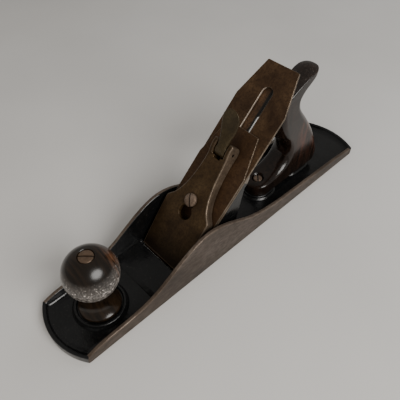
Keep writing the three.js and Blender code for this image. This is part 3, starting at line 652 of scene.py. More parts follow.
def plane_body():
    shell = Shell()
    outer = plan_loop(0, 0, 0)
    heights = [cheek_height(x) for x, y in outer]

    def ring(side, toe, heel, rule):
        points = plan_loop(side, toe, heel)
        return shell.loop([(x, y, rule(h)) for (x, y), h in zip(points, heights)])

    def level(d, z):
        return ring(d, d, d, lambda h: z)

    def below(d, drop):
        return ring(d, d, d, lambda h: h - drop)

    def inside(side, toe, heel, drop):
        return ring(side, toe, heel, lambda h: h - drop)

    shell.mat = 1
    outside = [level(0.7, 0), level(0.2, 0.15), level(0, 0.6), ring(0, 0, 0, lambda h: h * 0.5),
               below(0, 1.1), below(0.1, 0.55), below(0.35, 0.2), below(0.8, 0.03), below(1.1, 0)]
    rim = [outside[-1], inside(WALL - 1.1, 1.8, 1.7, 0), inside(WALL - 0.6, 2.3, 2.2, 0.12)]
    shell.walls(outside[:5])
    shell.mat = 2
    shell.walls(outside[4:])
    shell.walls(rim)
    shell.mat = 0

    def fillet(t):
        """A hollow curve from the wall down to the floor, t from 0 to 1."""
        a = quarter(t, 1)
        side = WALL + 0.25 + 4.2 * (1 - cos(a))
        end = 3.4 + 5.4 * (1 - cos(a))
        return side, end, 1 - sin(a)

    inner = [rim[-1], inside(WALL - 0.15, 2.9, 2.8, 0.5), inside(WALL, 3.2, 3.1, 1.1)]
    for k in range(1, 9):
        side, end, up = fillet(k / 8)
        inner.append(ring(side, end, end * 0.85, lambda h, up=up: FLOOR + min(4.2, h - 1.1 - FLOOR) * up))
    shell.walls(inner)

    half = 27.9
    mouth = [(66.0, -half), (73.4, -half), (73.4, half), (66.0, half)]
    upper_mouth = [(61.8, -half), (73.45, -half), (73.45, half), (61.8, half)]
    low = shell.loop([(x, y, 0) for x, y in mouth])
    high = shell.loop([(x, y, FLOOR) for x, y in upper_mouth])
    shell.wall(low, high)
    shell.lid(inner[-1], high)
    shell.mat = 1
    shell.lid(outside[0], low)

    # the raised pad ahead of the mouth, with a rounded front shoulder
    shell.mat = 0
    pad = rounded(
        [(73.55, 3.0, 0), (102.5, 3.0, 0), (101.5, 4.6, 1.2), (97.5, 6.0, 2.2), (73.35, 6.0, 0.3)], 5)
    across(shell, pad, 28.2)

    # the frog's seat
    seat = rounded([(10, 3, 0), (63.5, 3, 0), (55.0, 11, 0.6), (10, 11, 1.0)], 4)
    across(shell, seat, 22)

    # the knob's ring, and the tote's two seats
    ring_profile = [(17.9, 3.0)] + [(r, z) for r, z in rounded(
        [(17.9, 6.9, 0.3), (18.6, 8.2, 0.6), (20.4, 8.2, 0.8), (21.2, 6.0, 0.8), (23.4, 3.0, 0)], 4)]
    lathe(shell, ring_profile, 96, (KNOB_X, 0))
    lathe(shell, [(0, 3.0), (18.4, 3.0), (18.4, 6.3), (0, 6.3)], 96, (KNOB_X, 0))
    for low_x, high_x, radius in ((-56, -51, 13.8), (-112, -98, 11.8)):
        plate_shell(shell, stadium(low_x, high_x, radius, 20), 3.0, 7.7, 1.2)
    body = shell.object("body_casting", [JAPAN, CHEEK, RIM])
    rim_end, cheek_end = 166, 167  # the ends of the casting are japanned to the edge
    for face in body.data.polygons:
        reach = abs(face.center.x / MM)
        if (face.material_index == 2 and reach > rim_end) or (reach > cheek_end and abs(face.normal.x) > 0.5):
            face.material_index = 0
    place_piece(body, "body", "plane_body")


def plate_shell(shell, outline, low, high, edge):
    """A raised pad with a flared foot and a round top edge."""
    rings = [(-2.2, low)]
    arcs = [quarter(k, 4) for k in range(5)]
    rings += [(-2.0 * (1 - sin(a)), low + 0.8 + 1.6 * sin(a)) for a in arcs]
    rings += [(edge * (1 - cos(a)), high - edge * (1 - sin(a))) for a in arcs]
    loft(shell, [[(x, y, z) for x, y in inset(outline, inward)] for inward, z in rings])


KNOB_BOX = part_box("knob")
KNOB_X = (KNOB_BOX[0].x + KNOB_BOX[1].x) / 2 / MM
plane_body()

# ---- pieces kept close to their CAD solids


def softened(node, name, body, materials, width, pick=None, reshape=None):
    """A copy of a machined or cast node with its coplanar faces joined and its edges rounded."""
    bm = bmesh.new()
    bm.from_mesh(frame["nodes"][node].data)
    bmesh.ops.remove_doubles(bm, verts=bm.verts[:], dist=MERGE * MM)
    coplanar = radians(4)
    bmesh.ops.dissolve_limit(bm, angle_limit=coplanar, verts=bm.verts[:], edges=bm.edges[:])
    if reshape is not None:
        reshape(bm)
    mesh = bpy.data.meshes.new(name)
    bm.to_mesh(mesh)
    bm.free()
    obj = mesh_object(name, mesh, materials, weighted=False)
    soften(obj, width, 34, 3)
    for face in obj.data.polygons:
        face.material_index = pick(face.center / MM, face.normal) if pick else 0
    shade(obj, 40)
    place_piece(obj, body, node)


def to_bed(point):
    x, y, z = point
    return (-(x - EDGE_X) * K + z * K, y, (x - EDGE_X) * K + z * K)


def frog_finish(centre, normal):
    """The bed's machined faces, above the mouth."""
    s, _, o = to_bed(centre)
    machined = o > -8.4 and (abs(normal.y) > 0.6 or normal.dot(BED_OUT) > 0.8 or normal.dot(BED_UP) > 0.6)
    return 1 if machined and s > 18 else 0


softened("frog", "frog_casting", "frog_seat", [JAPAN, MACHINED], 0.5, frog_finish)
softened("depth_yoke", "depth_yoke_casting", "yoke", [STEEL], 0.4)


STRIP_STEP = 147.5  # how far up the bed the strip's edge steps outwards
STRIP_EDGES = (1.6, 2.9)  # where its left edge lies below and above that
# where the painted shadow on the lateral strip begins, across the plane
STRIP_SHADOW_FROM = 0.6


def widen_strip(bm):
    """Steps the strip's left edge outwards behind the upper part of the cutter's slot."""
    for s in (STRIP_STEP - 1, STRIP_STEP + 1):
        bisect(bm, from_bed(s, 0, 0) * MM, BED_UP)
    for vert in bm.verts:
        s, y, o = to_bed(vert.co / MM)
        if s > 130 and -1 < y < 1.5:
            vert.co = from_bed(s, STRIP_EDGES[s > STRIP_STEP], o) * MM
    # a cut where the painted shadow begins
    bisect(bm, Vector((0, STRIP_SHADOW_FROM, 0)) * MM, Vector((0, 1, 0)))


# painted shadow: the strip's part left of that cut, shaded by the wall of the cutter's slot, takes the second
# material
def paint_strip_shadow(centre, _):
    s, y, _ = to_bed(centre)
    return 1 if y > STRIP_SHADOW_FROM and 128 < s < 169 else 0


softened("lateral_lever", "lateral_lever_strip", "lateral", [RUST, PAINTED_SHADE], 0.3, paint_strip_shadow,
         reshape=widen_strip)
softened("frog_clip", "frog_clip_strip", "frog_seat", [STEEL], 0.2)
softened("cap_spring", "cap_leaf_spring", "cap", [STEEL], 0.15)

# ---- cutter and chip breaker

CUTTER_TOP = 191.0


def paint_mouth_shade(obj, slot):
    """Gives the worn faces at a plate's front end the material in this slot, painted shade at the mouth."""
    reach = 5
    for face in obj.data.polygons:
        if face.material_index == 1 and to_bed(face.center / MM)[0] < reach:
            face.material_index = slot


def cutter():
    outline = rounded(mirrored([(0.4, -25.4, 0.3), (156, -25.4, 3), (CUTTER_TOP, -15.6, 1.2)]), 6)
    slot = keyhole(45, 7.5, 166.4, 5.2)
    shell = Shell()
    plate(shell, outline, [slot], -2.0, 0, 0.28)
    edge, bevel_end = 0.4, 4.6
    shell.slice((bevel_end, 0, 0), TOEWARD)

    def grind(p):
        """Lifts the underside to a bevel that leaves the cutting edge 0.15 mm thick."""
        if p.z < -0.5 and p.x < bevel_end:
            return Vector((p.x, p.y, max(p.z, -0.15 - 1.85 * max(0, p.x - edge) / 4.2)))
        return p

    shell.bend(grind)
    obj = shell.object("cutting_iron", [IRON, WORN_EDGE, PAINTED_HIGHLIGHT, PAINTED_SHADE], BED)
    for face in obj.data.polygons:
        in_slot = abs(face.center.y / MM) < 6
        if face.material_index == 1 and in_slot and face.normal.y > 0.6:
            face.material_index = 2  # the slot's wall that catches the light, given a painted highlight
    paint_mouth_shade(obj, 3)
    place_piece(obj, "iron", "cutter")


def keyhole(low, lobe, high, half, steps=14):
    """A round hole at low that opens into a slot that ends at high."""
    mouth = asin(half / lobe)
    points = []
    for k in range(2 * steps + 1):
        angle = mouth + (2 * pi - 2 * mouth) * k / (2 * steps)
        points.append((low + lobe * cos(angle), lobe * sin(angle)))
    for k in range(steps + 1):
        angle = -pi / 2 + pi * k / steps
        points.append((high + half * cos(angle), half * sin(angle)))
    return points


def chip_breaker():
    outline = rounded(mirrored([(2, -25.2, 0.5), (99, -25.2, 4), (133, -16.4, 0.9)]), 6)
    shell = Shell()
    plate(shell, outline, [stadium(60.5, 66.5, 6, 12), circle(95, 0, 2.9, 24)], 0.3, 2.3, 0.28)
    for k in range(1, 15):
        shell.slice((2 + 1.6 * k, 0, 0), TOEWARD)

    def hump(p):
        t = (p.x - 2) / 22
        if not 0 <= t <= 1:
            return p
        rise = 1.25 * sin(pi * t ** 0.6)
        thin = 1 if t > 0.25 else t / 0.25
        top = 0.5 + (p.z - 0.3) * (0.25 + 0.75 * thin)
        return Vector((p.x, p.y, (top if p.z > 1 else p.z) + rise))

    shell.bend(hump)
    obj = shell.object("chip_breaker_plate", [BREAKER, WORN_EDGE, PAINTED_SHADE], BED)
    paint_mouth_shade(obj, 2)
    place_piece(obj, "iron", "chip_breaker")


cutter()
chip_breaker()

# ---- lever cap

CAP = {"half": 24.6, "tip": 4.0, "fork": 104.2, "fork_half": 5.6, "neck": 9.9}
PIN = (111.0, 10.8)
KEY = {"lobe": 51.0, "lobe_r": 6.4, "end": 62.5, "slot_r": 3.9}


def cap_outline():
    half, neck = CAP["half"], CAP["neck"]
    right = path((CAP["tip"], -half), (52, -half), ((56, -half), (56.5, -21), (62, -17.8)),
                 ((72, -12.4), (84, -10.8), (101, -neck)), (115, -neck),
                 ((116.8, -neck), (117.6, -9.4), (117.6, -8.2)), steps=16)
    end = [(117.6, -CAP["fork_half"] - 0.6), (117.0, -CAP["fork_half"])]
    corner = 0.8
    notch = [(CAP["fork"] + corner * (1 - sin(a)), -CAP["fork_half"] + corner * (1 - cos(a)))
             for a in (quarter(k, 4) for k in range(5))]
    notch += [(CAP["fork"], -3.3), (CAP["fork"] - 0.2, -3.1), (102.4, -3.1), (102.2, -2.9)]
    return mirrored(right + end + notch)


def cap_top(s):
    """The cap's upper face above the bed."""
    if s > 116:
        return 17.5 - 1.6 * (1 - sqrt(max(0.0, 1 - ((s - 116) / 1.7) ** 2)))
    knots = [
        (0, 4.8), (4, 5.3), (14, 7.2), (26, 8.9), (40, 10.9), (54, 12.4), (70, 12.9), (86, 13.4), (98, 14.0),
        (104, 15.0), (109, 16.9), (112, 17.5), (116, 17.5)]
    for (a, za), (b, zb) in zip(knots, knots[1:]):
        if a <= s <= b:
            t = (s - a) / (b - a)
            return za + (zb - za) * t
    return 17.0


def cap_under(s):
    """The foot of the cap's side walls."""
    if s > PIN[0]:
        reach = min(1.0, (s - PIN[0]) / 8)
        return PIN[1] - (PIN[1] - 3.4) * sqrt(max(0.0, 1 - reach * reach))
    return 4.2 if s < 27 else 4.2 - 0.8 * min(1, (s - 27) / 4)


def lever_cap():
    shell = Shell()
    outline = cap_outline()
    edge, thick = 1.1, 3.6

    def lay(points, level):
        return shell.loop([(x, y, level) for x, y in points])

    # until bend(), z is a height above or below one of these levels: the foot of the walls, the upper face,
    # and the roof of the hollow
    foot, top, roof = 0.0, 1000.0, 2000.0
    outer = [lay(inset(outline, 0.5), foot), lay(inset(outline, 0.12), foot + 0.15), lay(outline, foot + 0.6)]
    outer.append(lay(outline, top - edge))
    shell.mat = 1
    shell.walls(outer)
    rim = [outer[-1]]
    for k in range(1, 5):
        a = quarter(k, 4)
        rim.append(lay(inset(outline, edge * (1 - cos(a))), top - edge * (1 - sin(a))))
    shell.walls(rim)
    shell.mat = 0
    key = keyhole(KEY["lobe"], KEY["lobe_r"], KEY["end"], KEY["slot_r"], 10)
    hole = [
        lay(inset(key, -0.5), top), lay(inset(key, -0.15), top - 0.15), lay(key, top - 0.5), lay(key, roof)]
    shell.walls(hole)
    shell.lid(rim[-1], hole[0])

    # the hollow underneath
    pocket = rounded(mirrored([(22, -21.4, 2), (50, -21.4, 3), (62, -14.4, 5), (78, -9.0, 4), (92, -7.4, 4),
                               (100.8, -7.0, 1)]), 5)
    inner = [lay(pocket, foot), lay(pocket, roof)]
    shell.walls(inner)
    shell.lid(outer[0], inner[0])
    shell.lid(inner[1], hole[-1])
    ear_cuts = [105.5, 107, 108.5, 110, 111, 112.2, 113.4, 114.6, 115.6, 116.4, 117]
    for s in [4 + 2.5 * k for k in range(1, 41)] + ear_cuts:
        shell.slice((s, 0, 0), TOEWARD)

    def shape(p):
        if p.z > (top + roof) / 2:
            z = cap_top(p.x) - thick if p.x > 34 else max(5.4, cap_top(p.x) - thick)
        elif p.z > (foot + top) / 2:
            z = cap_top(p.x) + (p.z - top)
        else:
            z = cap_under(p.x) + p.z
        return Vector((p.x, p.y, z))

    shell.bend(shape)
    obj = shell.object("lever_cap_casting", [CAP_SKIN, CAP_EDGE], BED, sharp=50)
    for face in obj.data.polygons:
        s, y, _ = to_bed(face.center / MM)
        if abs(y) < 6.4 and s > 100:
            face.material_index = 0  # inside the fork
    place_piece(obj, "cap", "lever_cap")


lever_cap()


def superellipse(half_y, low, high, power, count):
    """A rounded section across the plane, from low to high."""
    points = []
    mid, half_z = (low + high) / 2, (high - low) / 2
    for k in range(count):
        a = 2 * pi * k / count
        c, n = cos(a), sin(a)
        points.append((half_y * copysign(abs(c) ** (2 / power), c),
                       mid + half_z * copysign(abs(n) ** (2 / power), n)))
    return points


def table(knots, x):
    """Smooth interpolation through (x, value) knots."""
    for i, ((a, va), (b, vb)) in enumerate(zip(knots, knots[1:])):
        if x <= b or i == len(knots) - 2:
            t = clamp((x - a) / (b - a))
            before = knots[i - 1] if i > 0 else knots[i]
            after = knots[i + 2] if i + 2 < len(knots) else knots[i + 1]
            ma = (vb - before[1]) / max(1e-6, b - before[0]) * (b - a)
            mb = (after[1] - va) / max(1e-6, after[0] - a) * (b - a)
            t2, t3 = t * t, t * t * t
            rise = (2 * t3 - 3 * t2 + 1) * va + (t3 - 2 * t2 + t) * ma
            return rise + (3 * t2 - 2 * t3) * vb + (t3 - t2) * mb
    return knots[-1][1]


def cam_lever():
    width = [(105, 5.0), (110, 5.1), (118, 5.1), (121, 5.7), (125, 7.0), (129, 7.8), (133, 8.3), (136, 8.5)]
    upper = [
        (105, 13.4), (109, 17.1), (113, 18.3), (117, 19.5), (122, 21.2), (128, 23.7), (134, 26.9),
        (141.5, 31.5)]
    lower = [
        (105, 9.0), (109, 7.0), (113, 9.5), (117, 14.2), (122, 17.2), (128, 20.2), (134, 23.9), (141.5, 29.3)]
    end, tip_radius = 141.5, 8.5
    stations = [105.0, 105.6, 106.5] + [108 + 1.6 * k for k in range(16)]
    stations += [end - tip_radius + tip_radius * sin(quarter(k, 9)) for k in range(1, 10)]
    sections = []
    for s in stations:
        half = table(width, min(s, 136))
        if s > end - tip_radius:
            reach = min(0.995, (s - end + tip_radius) / tip_radius)
            half = tip_radius * sqrt(1 - reach * reach)
        low, high = table(lower, s), table(upper, s)
        if s < 106:
            low, high = low + (106 - s), high - (106 - s)
        dish = 0.5 if s > 122 else 0.0
        sections.append([(s, y, z - (dish * (1 - (y / 9) ** 2) if z > (low + high) / 2 else 0))
                         for y, z in superellipse(half, low, high, 3.4, 32)])
    shell = Shell()
    loft(shell, sections)
    # the hub, with the cam's flat toward the spring
    hub = []
    for k in range(48):
        a = 2 * pi * k / 48
        radius = 6.3 if sin(a) > -0.2 else 6.3 - 0.9 * max(0, -sin(a) - 0.2)
        hub.append((PIN[0] + radius * cos(a), PIN[1] + radius * sin(a)))
    loops = []
    for half, inward in ((-4.9, 0.7), (-4.7, 0.25), (-4.2, 0), (4.2, 0), (4.7, 0.25), (4.9, 0.7)):
        loops.append([(x, half, z) for x, z in inset(hub, inward)])
    loft(shell, loops)
    obj = shell.object("cam_lever_casting", [CAM_SKIN], BED, sharp=55)
    place_piece(obj, "cam", "cam_lever")


cam_lever()

# ---- turned parts


def turned(name, materials, profile, sides, place, **more):
    """A lathe form whose own axis is the z of place."""
    shell = Shell()
    lathe(shell, profile, sides)
    return shell.object(name, materials, place, **more)


def steel_turning(name, node, body, profile, origin, axis, sides=48):
    """A steel lathe form whose own z runs along axis from origin, in millimetres."""
    place_piece(turned(name, [STEEL], profile, sides, axis_frame(origin, axis)), body, node)


def paint_slot_shade(obj, place, half_width, top):
    """Gives the faces inside a screwdriver slot the second material, painted shade."""
    inward = place.inverted()
    for face in obj.data.polygons:
        x, y, z = inward @ (face.center / MM)
        if abs(y) < half_width + 0.05 and top - 1.6 < z < top and hypot(x, y) > 0.01:
            face.material_index = 1


def on_axis(corners, steps):
    """A rounded profile that starts and ends on the axis."""
    return [(0, corners[0][1])] + rounded(corners, steps)[1:-1] + [(0, corners[-1][1])]


def screw(name, node, body, head, height, shank, length, origin, axis, slot_along,
          slot_width=1.3, dome=1.0, slot_depth=1.5):
    """A slotted screw: z = 0 is the underside of its head."""
    profile = on_axis(
        [(0.001, -length, 0), (shank, -length, 0.5), (shank, 0, 0), (head, 0, 0.25),
        (head, height - dome, 0.35), (head * 0.72, height - dome * 0.25, 2.0), (0.001, height, 0)], 5)
    place = axis_frame(origin, axis, slot_along)
    obj = turned(name, [SCREW, PAINTED_SHADE], profile, 56, place, weighted=False)
    reach, half = head + 1, slot_width / 2
    carve(obj, box_tool((-reach, -half, height - slot_depth), (reach, half, height + 2), place))
    soften(obj, 0.14)
    shade(obj, 40)
    paint_slot_shade(obj, place, half, height - 0.45 - dome * 0.3)
    place_piece(obj, body, node)


SLOT_IN_VIEW = (0.7, 0.7, 0)
CLAMP_HEAD = cap_top(62.5) + 0.45
screw("lever_cap_screw_head", "lever_cap_screw", "frog_seat", 5.6, 3.3, 3.0, 19.0,
      from_bed(62.5, 0, CLAMP_HEAD), BED_OUT, from_bed(0.85, -0.53, 0) - from_bed(0, 0, 0), 1.3, 1.2, 1.9)
screw("stack_screw_head", "stack_screw", "iron_carrier", 6.0, 2.2, 2.6, 4.4,
      from_bed(95, 0, -2.3), -BED_OUT, LEFT, 1.2, 0.5, 1.2)
screw("tote_toe_screw_head", "tote_toe_screw", "body", 4.2, 2.8, 2.0, 15.0,
      (-51, 0, 17.5), UP, SLOT_IN_VIEW, 1.2, 0.5, 1.3)
for label, side in (("left", 1), ("right", -1)):
    low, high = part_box("frog_washer_" + label)
    centre = (low + high) / 2 / MM
    ring = rounded([(3.3, 0, 0.15), (6.4, 0, 0.25), (6.4, 1.2, 0.35), (3.3, 1.2, 0.15)], 3)
    at_seat = Matrix.Translation((centre.x, centre.y, low.z / MM))
    washer = turned("frog_washer_disc_" + label, [STEEL], ring, 48, at_seat)
    place_piece(washer, "body", "frog_washer_" + label)
    screw("frog_screw_head_" + label, "frog_screw_" + label, "body", 5.4, 3.4, 2.9, 13.0,
          (centre.x, centre.y, high.z / MM + 0.3), UP, (1, 0.3 * side, 0), 1.3, 0.8, 1.5)

adjuster_place = axis_frame((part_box("frog_adjusting_screw")[0].x / MM, 0, 7.7), TOEWARD, LEFT)
adjuster_profile = on_axis(
    [(0.01, 0, 0), (3.1, 0, 0.4), (3.1, 3.2, 0.3), (1.8, 3.2, 0.1), (1.8, 5.8, 0.1), (2.9, 5.8, 0.2),
    (2.9, 6.8, 0.2), (2.2, 7.2, 0.1), (2.2, 20.4, 0.3), (0.01, 20.4, 0)], 4)
adjuster = turned("frog_adjusting_screw_body", [SCREW], adjuster_profile, 40, adjuster_place, weighted=False)
carve(adjuster, box_tool((-5, -0.6, -1), (5, 0.6, 1.2), adjuster_place))
soften(adjuster, 0.12)
shade(adjuster, 40)
place_piece(adjuster, "adjusting_screw", "frog_adjusting_screw")

clip_low, clip_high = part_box("clip_screw")
screw("clip_screw_head", "clip_screw", "frog_seat", 3.3, 1.8, 1.4, 8.0,
      (clip_low.x / MM + 1.8, 0, (clip_low.z + clip_high.z) / 2 / MM), (-1, 0, 0), LEFT, 0.9, 0.5, 0.9)

# the depth wheel and its stud
wheel_z = at_joint("depth_wheel_turn").z
wheel_low, wheel_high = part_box("depth_wheel")


def knurl(k, radius, _):
    """Every second point of the wheel's rim lies deeper."""
    return -0.45 if k % 2 and radius > 13.2 else 0.0


wheel_length = (wheel_high.x - wheel_low.x) / MM
rim_start, rim_end, rim_radius, collar = 1.6, 9.6, 14.0, wheel_length - 1.5
wheel_profile = rounded([
    (3.5, 0, 0.2), (6.0, 0, 0.6), (6.6, rim_start, 0.8), (10.2, rim_start + 0.5, 0.8), (11.4, rim_start, 0.6),
    (12.9, rim_start, 0.5), (rim_radius, rim_start + 1.1, 0.3), (rim_radius, rim_end - 1.1, 0.3),
    (12.9, rim_end, 0.5), (11.0, rim_end, 0.5), (5.4, rim_end, 0.5), (5.4, collar, 0.3), (8.0, collar, 0.3),
    (8.0, wheel_length, 0.3), (3.5, wheel_length, 0.2)], 4)
shell = Shell()
lathe(shell, wheel_profile, 120, wobble=knurl)
wheel = shell.object("depth_wheel_brass", [BRASS], axis_frame((wheel_low.x / MM, 0, wheel_z), TOEWARD, LEFT))
place_piece(wheel, "wheel", "depth_wheel")
stud_low, stud_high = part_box("depth_stud")
stud_length = (stud_high.x - stud_low.x) / MM
steel_turning("depth_stud_rod", "depth_stud", "frog_seat",
             [(0, 0), (2.3, 0), (3.1, 0.7)] + [(3.1 if k % 2 else 2.75, 1.0 + 0.5 * k) for k in range(28)]
             + [(3.1, 15.5), (3.1, stud_length), (0, stud_length)], (stud_low.x / MM, 0, wheel_z), TOEWARD)

yoke_pin = at_joint("yoke_tilt")
steel_turning(
    "yoke_pin_rod", "yoke_pin", "frog_seat", [(0, -10.4), (1.2, -10.4), (1.5, -10.1), (1.5, 10.1),
    (1.2, 10.4), (0, 10.4)], yoke_pin, LEFT, 32)
cam_pin = at_joint("cam_lift")
steel_turning("cam_pin_rod", "cam_pin", "cap",
             [(0, -9.9), (1.3, -9.9), (1.75, -9.6), (1.75, 9.6), (1.3, 9.9), (0, 9.9)], cam_pin, LEFT, 32)

lateral = at_joint("lateral_swing")
steel_turning("lateral_rivet_head", "lateral_rivet", "frog_seat",
             [(0, -5.0), (1.6, -5.0), (1.6, -0.6), (3.6, -0.6), (3.7, -0.2), (3.2, 0.25), (0, 0.4)],
             lateral + BED_OUT * -2.6, BED_OUT, 40)
roller = lateral - BED_UP * 11
steel_turning("lateral_roller_disc", "lateral_roller", "lateral",
             rounded([(1.8, -2.8, 0.1), (4.5, -2.8, 0.3), (4.5, -0.3, 0.3), (1.8, -0.3, 0.1)], 3),
             roller, BED_OUT, 40)
steel_turning("roller_pin_rod", "roller_pin", "lateral",
             [(0, -4.8), (1.5, -4.8), (1.5, -0.5), (1.2, -0.25), (0, -0.25)], roller, BED_OUT, 32)
steel_turning("spring_rivet_head", "spring_rivet", "cap",
             [(0, 7.2), (2.4, 7.3), (3.0, 7.8), (3.0, 8.2), (1.4, 8.2), (1.4, 11.6), (0, 11.6)],
             from_bed(90, 0, 0), BED_OUT, 32)

# ---- knob

KNOB_TOP = KNOB_BOX[1].z / MM
BALL = (KNOB_BOX[1].x - KNOB_BOX[0].x) / 2 / MM
BALL_Z = KNOB_TOP - 20.2


def knob():
    low = -0.98  # where the ball meets the neck, as an angle at its centre
    foot = (BALL * cos(low), BALL_Z + BALL * sin(low))
    profile = [(3.3, 6.8), (16.2, 6.8), (16.7, 7.1), (17.0, 7.7), (17.0, 8.8), (16.8, 9.4), (16.3, 9.9)]
    profile += bezier((16.3, 9.9), (13.2, 13.0), (9.9, 17.5), (9.7, 24.0), 14)
    profile += bezier((9.7, 24.0), (9.6, 28.5), (10.2, 31.0), foot, 12)
    top_angle = asin((KNOB_TOP - 0.3 - BALL_Z) / BALL)
    profile += [(BALL * cos(a), BALL_Z + BALL * sin(a))
                for a in (low + (top_angle - low) * k / 44 for k in range(1, 45))]
    profile += [(6.5, KNOB_TOP - 0.05), (6.2, KNOB_TOP - 0.25), (6.0, KNOB_TOP - 0.6), (6.0, KNOB_TOP - 3.2),
                (4.7, KNOB_TOP - 3.2), (4.7, KNOB_TOP - 22), (3.3, KNOB_TOP - 22)]
    shell = Shell()
    lathe(shell, profile, 112, (KNOB_X, 0))
    obj = shell.object("knob_turning", [KNOB_WOOD], sharp=50)
    place_piece(obj, "body", "knob")


knob()


ACROSS_VIEW = (-0.718, 0.696, 0)


def barrel_nut(name, node, origin, axis, slot_along):
    """A round nut with a long barrel. Its slot is cut before it is put in place."""
    head = 5.6
    profile = [(0, -2), (3.2, -2), (3.2, -15), (4.3, -15), (4.3, 0)] + on_axis(
        [(4.3, 0, 0), (head, 0, 0.2), (head, 2.6, 0.5), (head * 0.55, 3.0, 1.5), (0.01, 3.1, 0)], 4)[1:]
    obj = turned(name, [NUT, PAINTED_SHADE], profile, 56, Matrix(), weighted=False)
    slot_half = 0.65
    carve(obj, box_tool((-head - 1, -slot_half, 1.3), (head + 1, slot_half, 6), Matrix()))
    soften(obj, 0.12)
    paint_slot_shade(obj, Matrix(), slot_half, 2.7)
    place = axis_frame(origin, axis, slot_along)
    place.translation *= MM
    obj.data.transform(place)
    shade(obj, 40)
    place_piece(obj, "body", node)


barrel_nut("knob_nut_brass", "knob_nut", (KNOB_X, 0, KNOB_TOP - 2.9), UP, ACROSS_VIEW)
steel_turning("knob_rod_steel", "knob_rod", "body",
             [(0, 3.0), (2.8, 3.0), (2.8, KNOB_TOP - 5.5), (0, KNOB_TOP - 5.5)], (KNOB_X, 0, 0), UP, 32)

# ---- tote

TOTE_EDGE = [  # a corner (x, z), or the last three points of a cubic, each with the edge's radius there
    ((-38.5, 8.0), 1.0),
    ((-122, 8.0), 1.0),
    (((-130, 12), (-129.6, 24), (-124.5, 36)), 11.0),
    (((-119.5, 50), (-107, 66), (-97, 78)), 11.5),
    (((-87, 90), (-83.5, 98), (-92, 105.3)), 10.5),
    (((-97, 109.2), (-101, 112.0), (-105, 114.8)), 6.5),
    (((-109.4, 117.6), (-109.6, 120.8), (-105.5, 121.7)), 1.6),
    (((-101, 122.7), (-97, 121.9), (-91.5, 119.6)), 1.0),
    (((-83, 116.0), (-76, 112.4), (-68, 108.3)), 1.4),
    (((-63, 105), (-60.5, 101), (-60.5, 94)), 9.0),
    (((-60.5, 82), (-64, 68), (-73, 56)), 11.5),
    (((-82, 46), (-84, 36), (-75, 29)), 9.0),
    (((-69, 24.5), (-62, 21.6), (-50, 20.5)), 4.0),
    (((-41, 20), (-38.5, 15), (-38.5, 10)), 3.0),
]
# where each end begins to round off across the plane, and over what length
TOE_END = (-51.2, 12.7)
HORN_END = (-97.6, 11.1)


def tote():
    points, radii = [TOTE_EDGE[0][0]], [TOTE_EDGE[0][1]]
    for piece, radius in TOTE_EDGE[1:]:
        before = radii[-1]
        if len(piece) == 2:
            points.append(piece)
            radii.append(radius)
            continue
        steps = 12
        for k, point in enumerate(bezier(points[-1], *piece, steps=steps), 1):
            t = k / steps
            t = t * t * (3 - 2 * t)
            points.append(point)
            radii.append(before + (radius - before) * t)
    width = 12.7
    side = 1 if area(points) > 0 else -1
    normals = [normal * side for normal, _ in corner_normals(points)]
    shell = Shell()
    loops = []
    steps = 9
    for half in (-1, 1):
        for k in range(steps + 1) if half < 0 else range(steps, -1, -1):
            a = quarter(k, steps)
            loop = []
            for (x, z), normal, radius in zip(points, normals, radii):
                horn = clamp((-96 - x) / 6) if normal.y > 0.3 else 0.0
                inward = radius * (1 - sin(a)) * (0.62 + 0.3 * horn)
                y = width - radius * (1 - cos(a))
                loop.append((x + normal.x * inward, half * y, z + normal.y * inward))
            loops.append(loop)
        if half < 0:
            for share in (-0.75, -0.5, -0.25, 0, 0.25, 0.5, 0.75):
                loops.append([(x, share * (width - radius), z) for (x, z), radius in zip(points, radii)])
    # loops run from the right face, round the edge, to the left face
    made = [shell.loop(loop) for loop in loops]
    shell.walls(made)
    shell.lid(made[0])
    shell.lid(made[-1])
    for k in range(9):
        shell.slice((TOE_END[0] + TOE_END[1] * sin(quarter(k, 9)), 0, 0), TOEWARD)
        shell.slice((HORN_END[0] - HORN_END[1] * sin(quarter(k, 9)), 0, 0), TOEWARD)
    for z in range(12, 119, 4):
        shell.slice((0, 0, z), UP)

    def shape(p):
        x, y, z = p
        # the grip is narrower than the toe, and narrowest at the neck
        factor = 1 - 0.11 * clamp((z - 24) / 30) - 0.085 * clamp((z - 80) / 25)
        if z < 30 and x > TOE_END[0]:
            reach = min(0.999, (x - TOE_END[0]) / TOE_END[1])
            factor *= sqrt(1 - reach * reach)
        if z > 100 and x < HORN_END[0]:
            reach = min(0.985, (HORN_END[0] - x) / HORN_END[1])
            factor *= sqrt(1 - reach * reach)
        y *= factor
        crown = 2.8 * clamp((z - 96) / 9) * (y / 10.5) ** 2
        return Vector((x, y, z - crown))

    shell.bend(shape)
    obj = shell.object("tote_carving", [TOTE_WOOD], sharp=42)
    carve(obj, drill(5.8, 17.2, 40, Matrix.Translation((-51, 0, 0))))
    carve(obj, drill(6.3, ROD_LENGTH - 0.4, ROD_LENGTH + 20, axis_frame(ROD_FOOT, ROD_TOP - ROD_FOOT)))
    shade(obj, 42)
    place_piece(obj, "body", "tote")


def drill(radius, low, high, place):
    """A round cutter for a screw's way. It is removed after use."""
    return turned(
        "drill_tool", [], [(0, low), (radius, low), (radius, high), (0, high)], 48, place, weighted=False)


ROD_FOOT, ROD_TOP = Vector((-101, 0, 7)), Vector((-71, 0, 106.5))
ROD_LENGTH = (ROD_TOP - ROD_FOOT).length
tote()
barrel_nut("tote_nut_brass", "tote_nut", ROD_FOOT + (ROD_TOP - ROD_FOOT).normalized() * (ROD_LENGTH - 0.1),
           ROD_TOP - ROD_FOOT, LEFT)
steel_turning(
    "tote_rod_steel", "tote_rod", "body", [(0, -2.0), (2.8, -2.0), (2.8, ROD_LENGTH - 3),
    (0, ROD_LENGTH - 3)], ROD_FOOT, ROD_TOP - ROD_FOOT, 32)

# ---- floor, light, camera


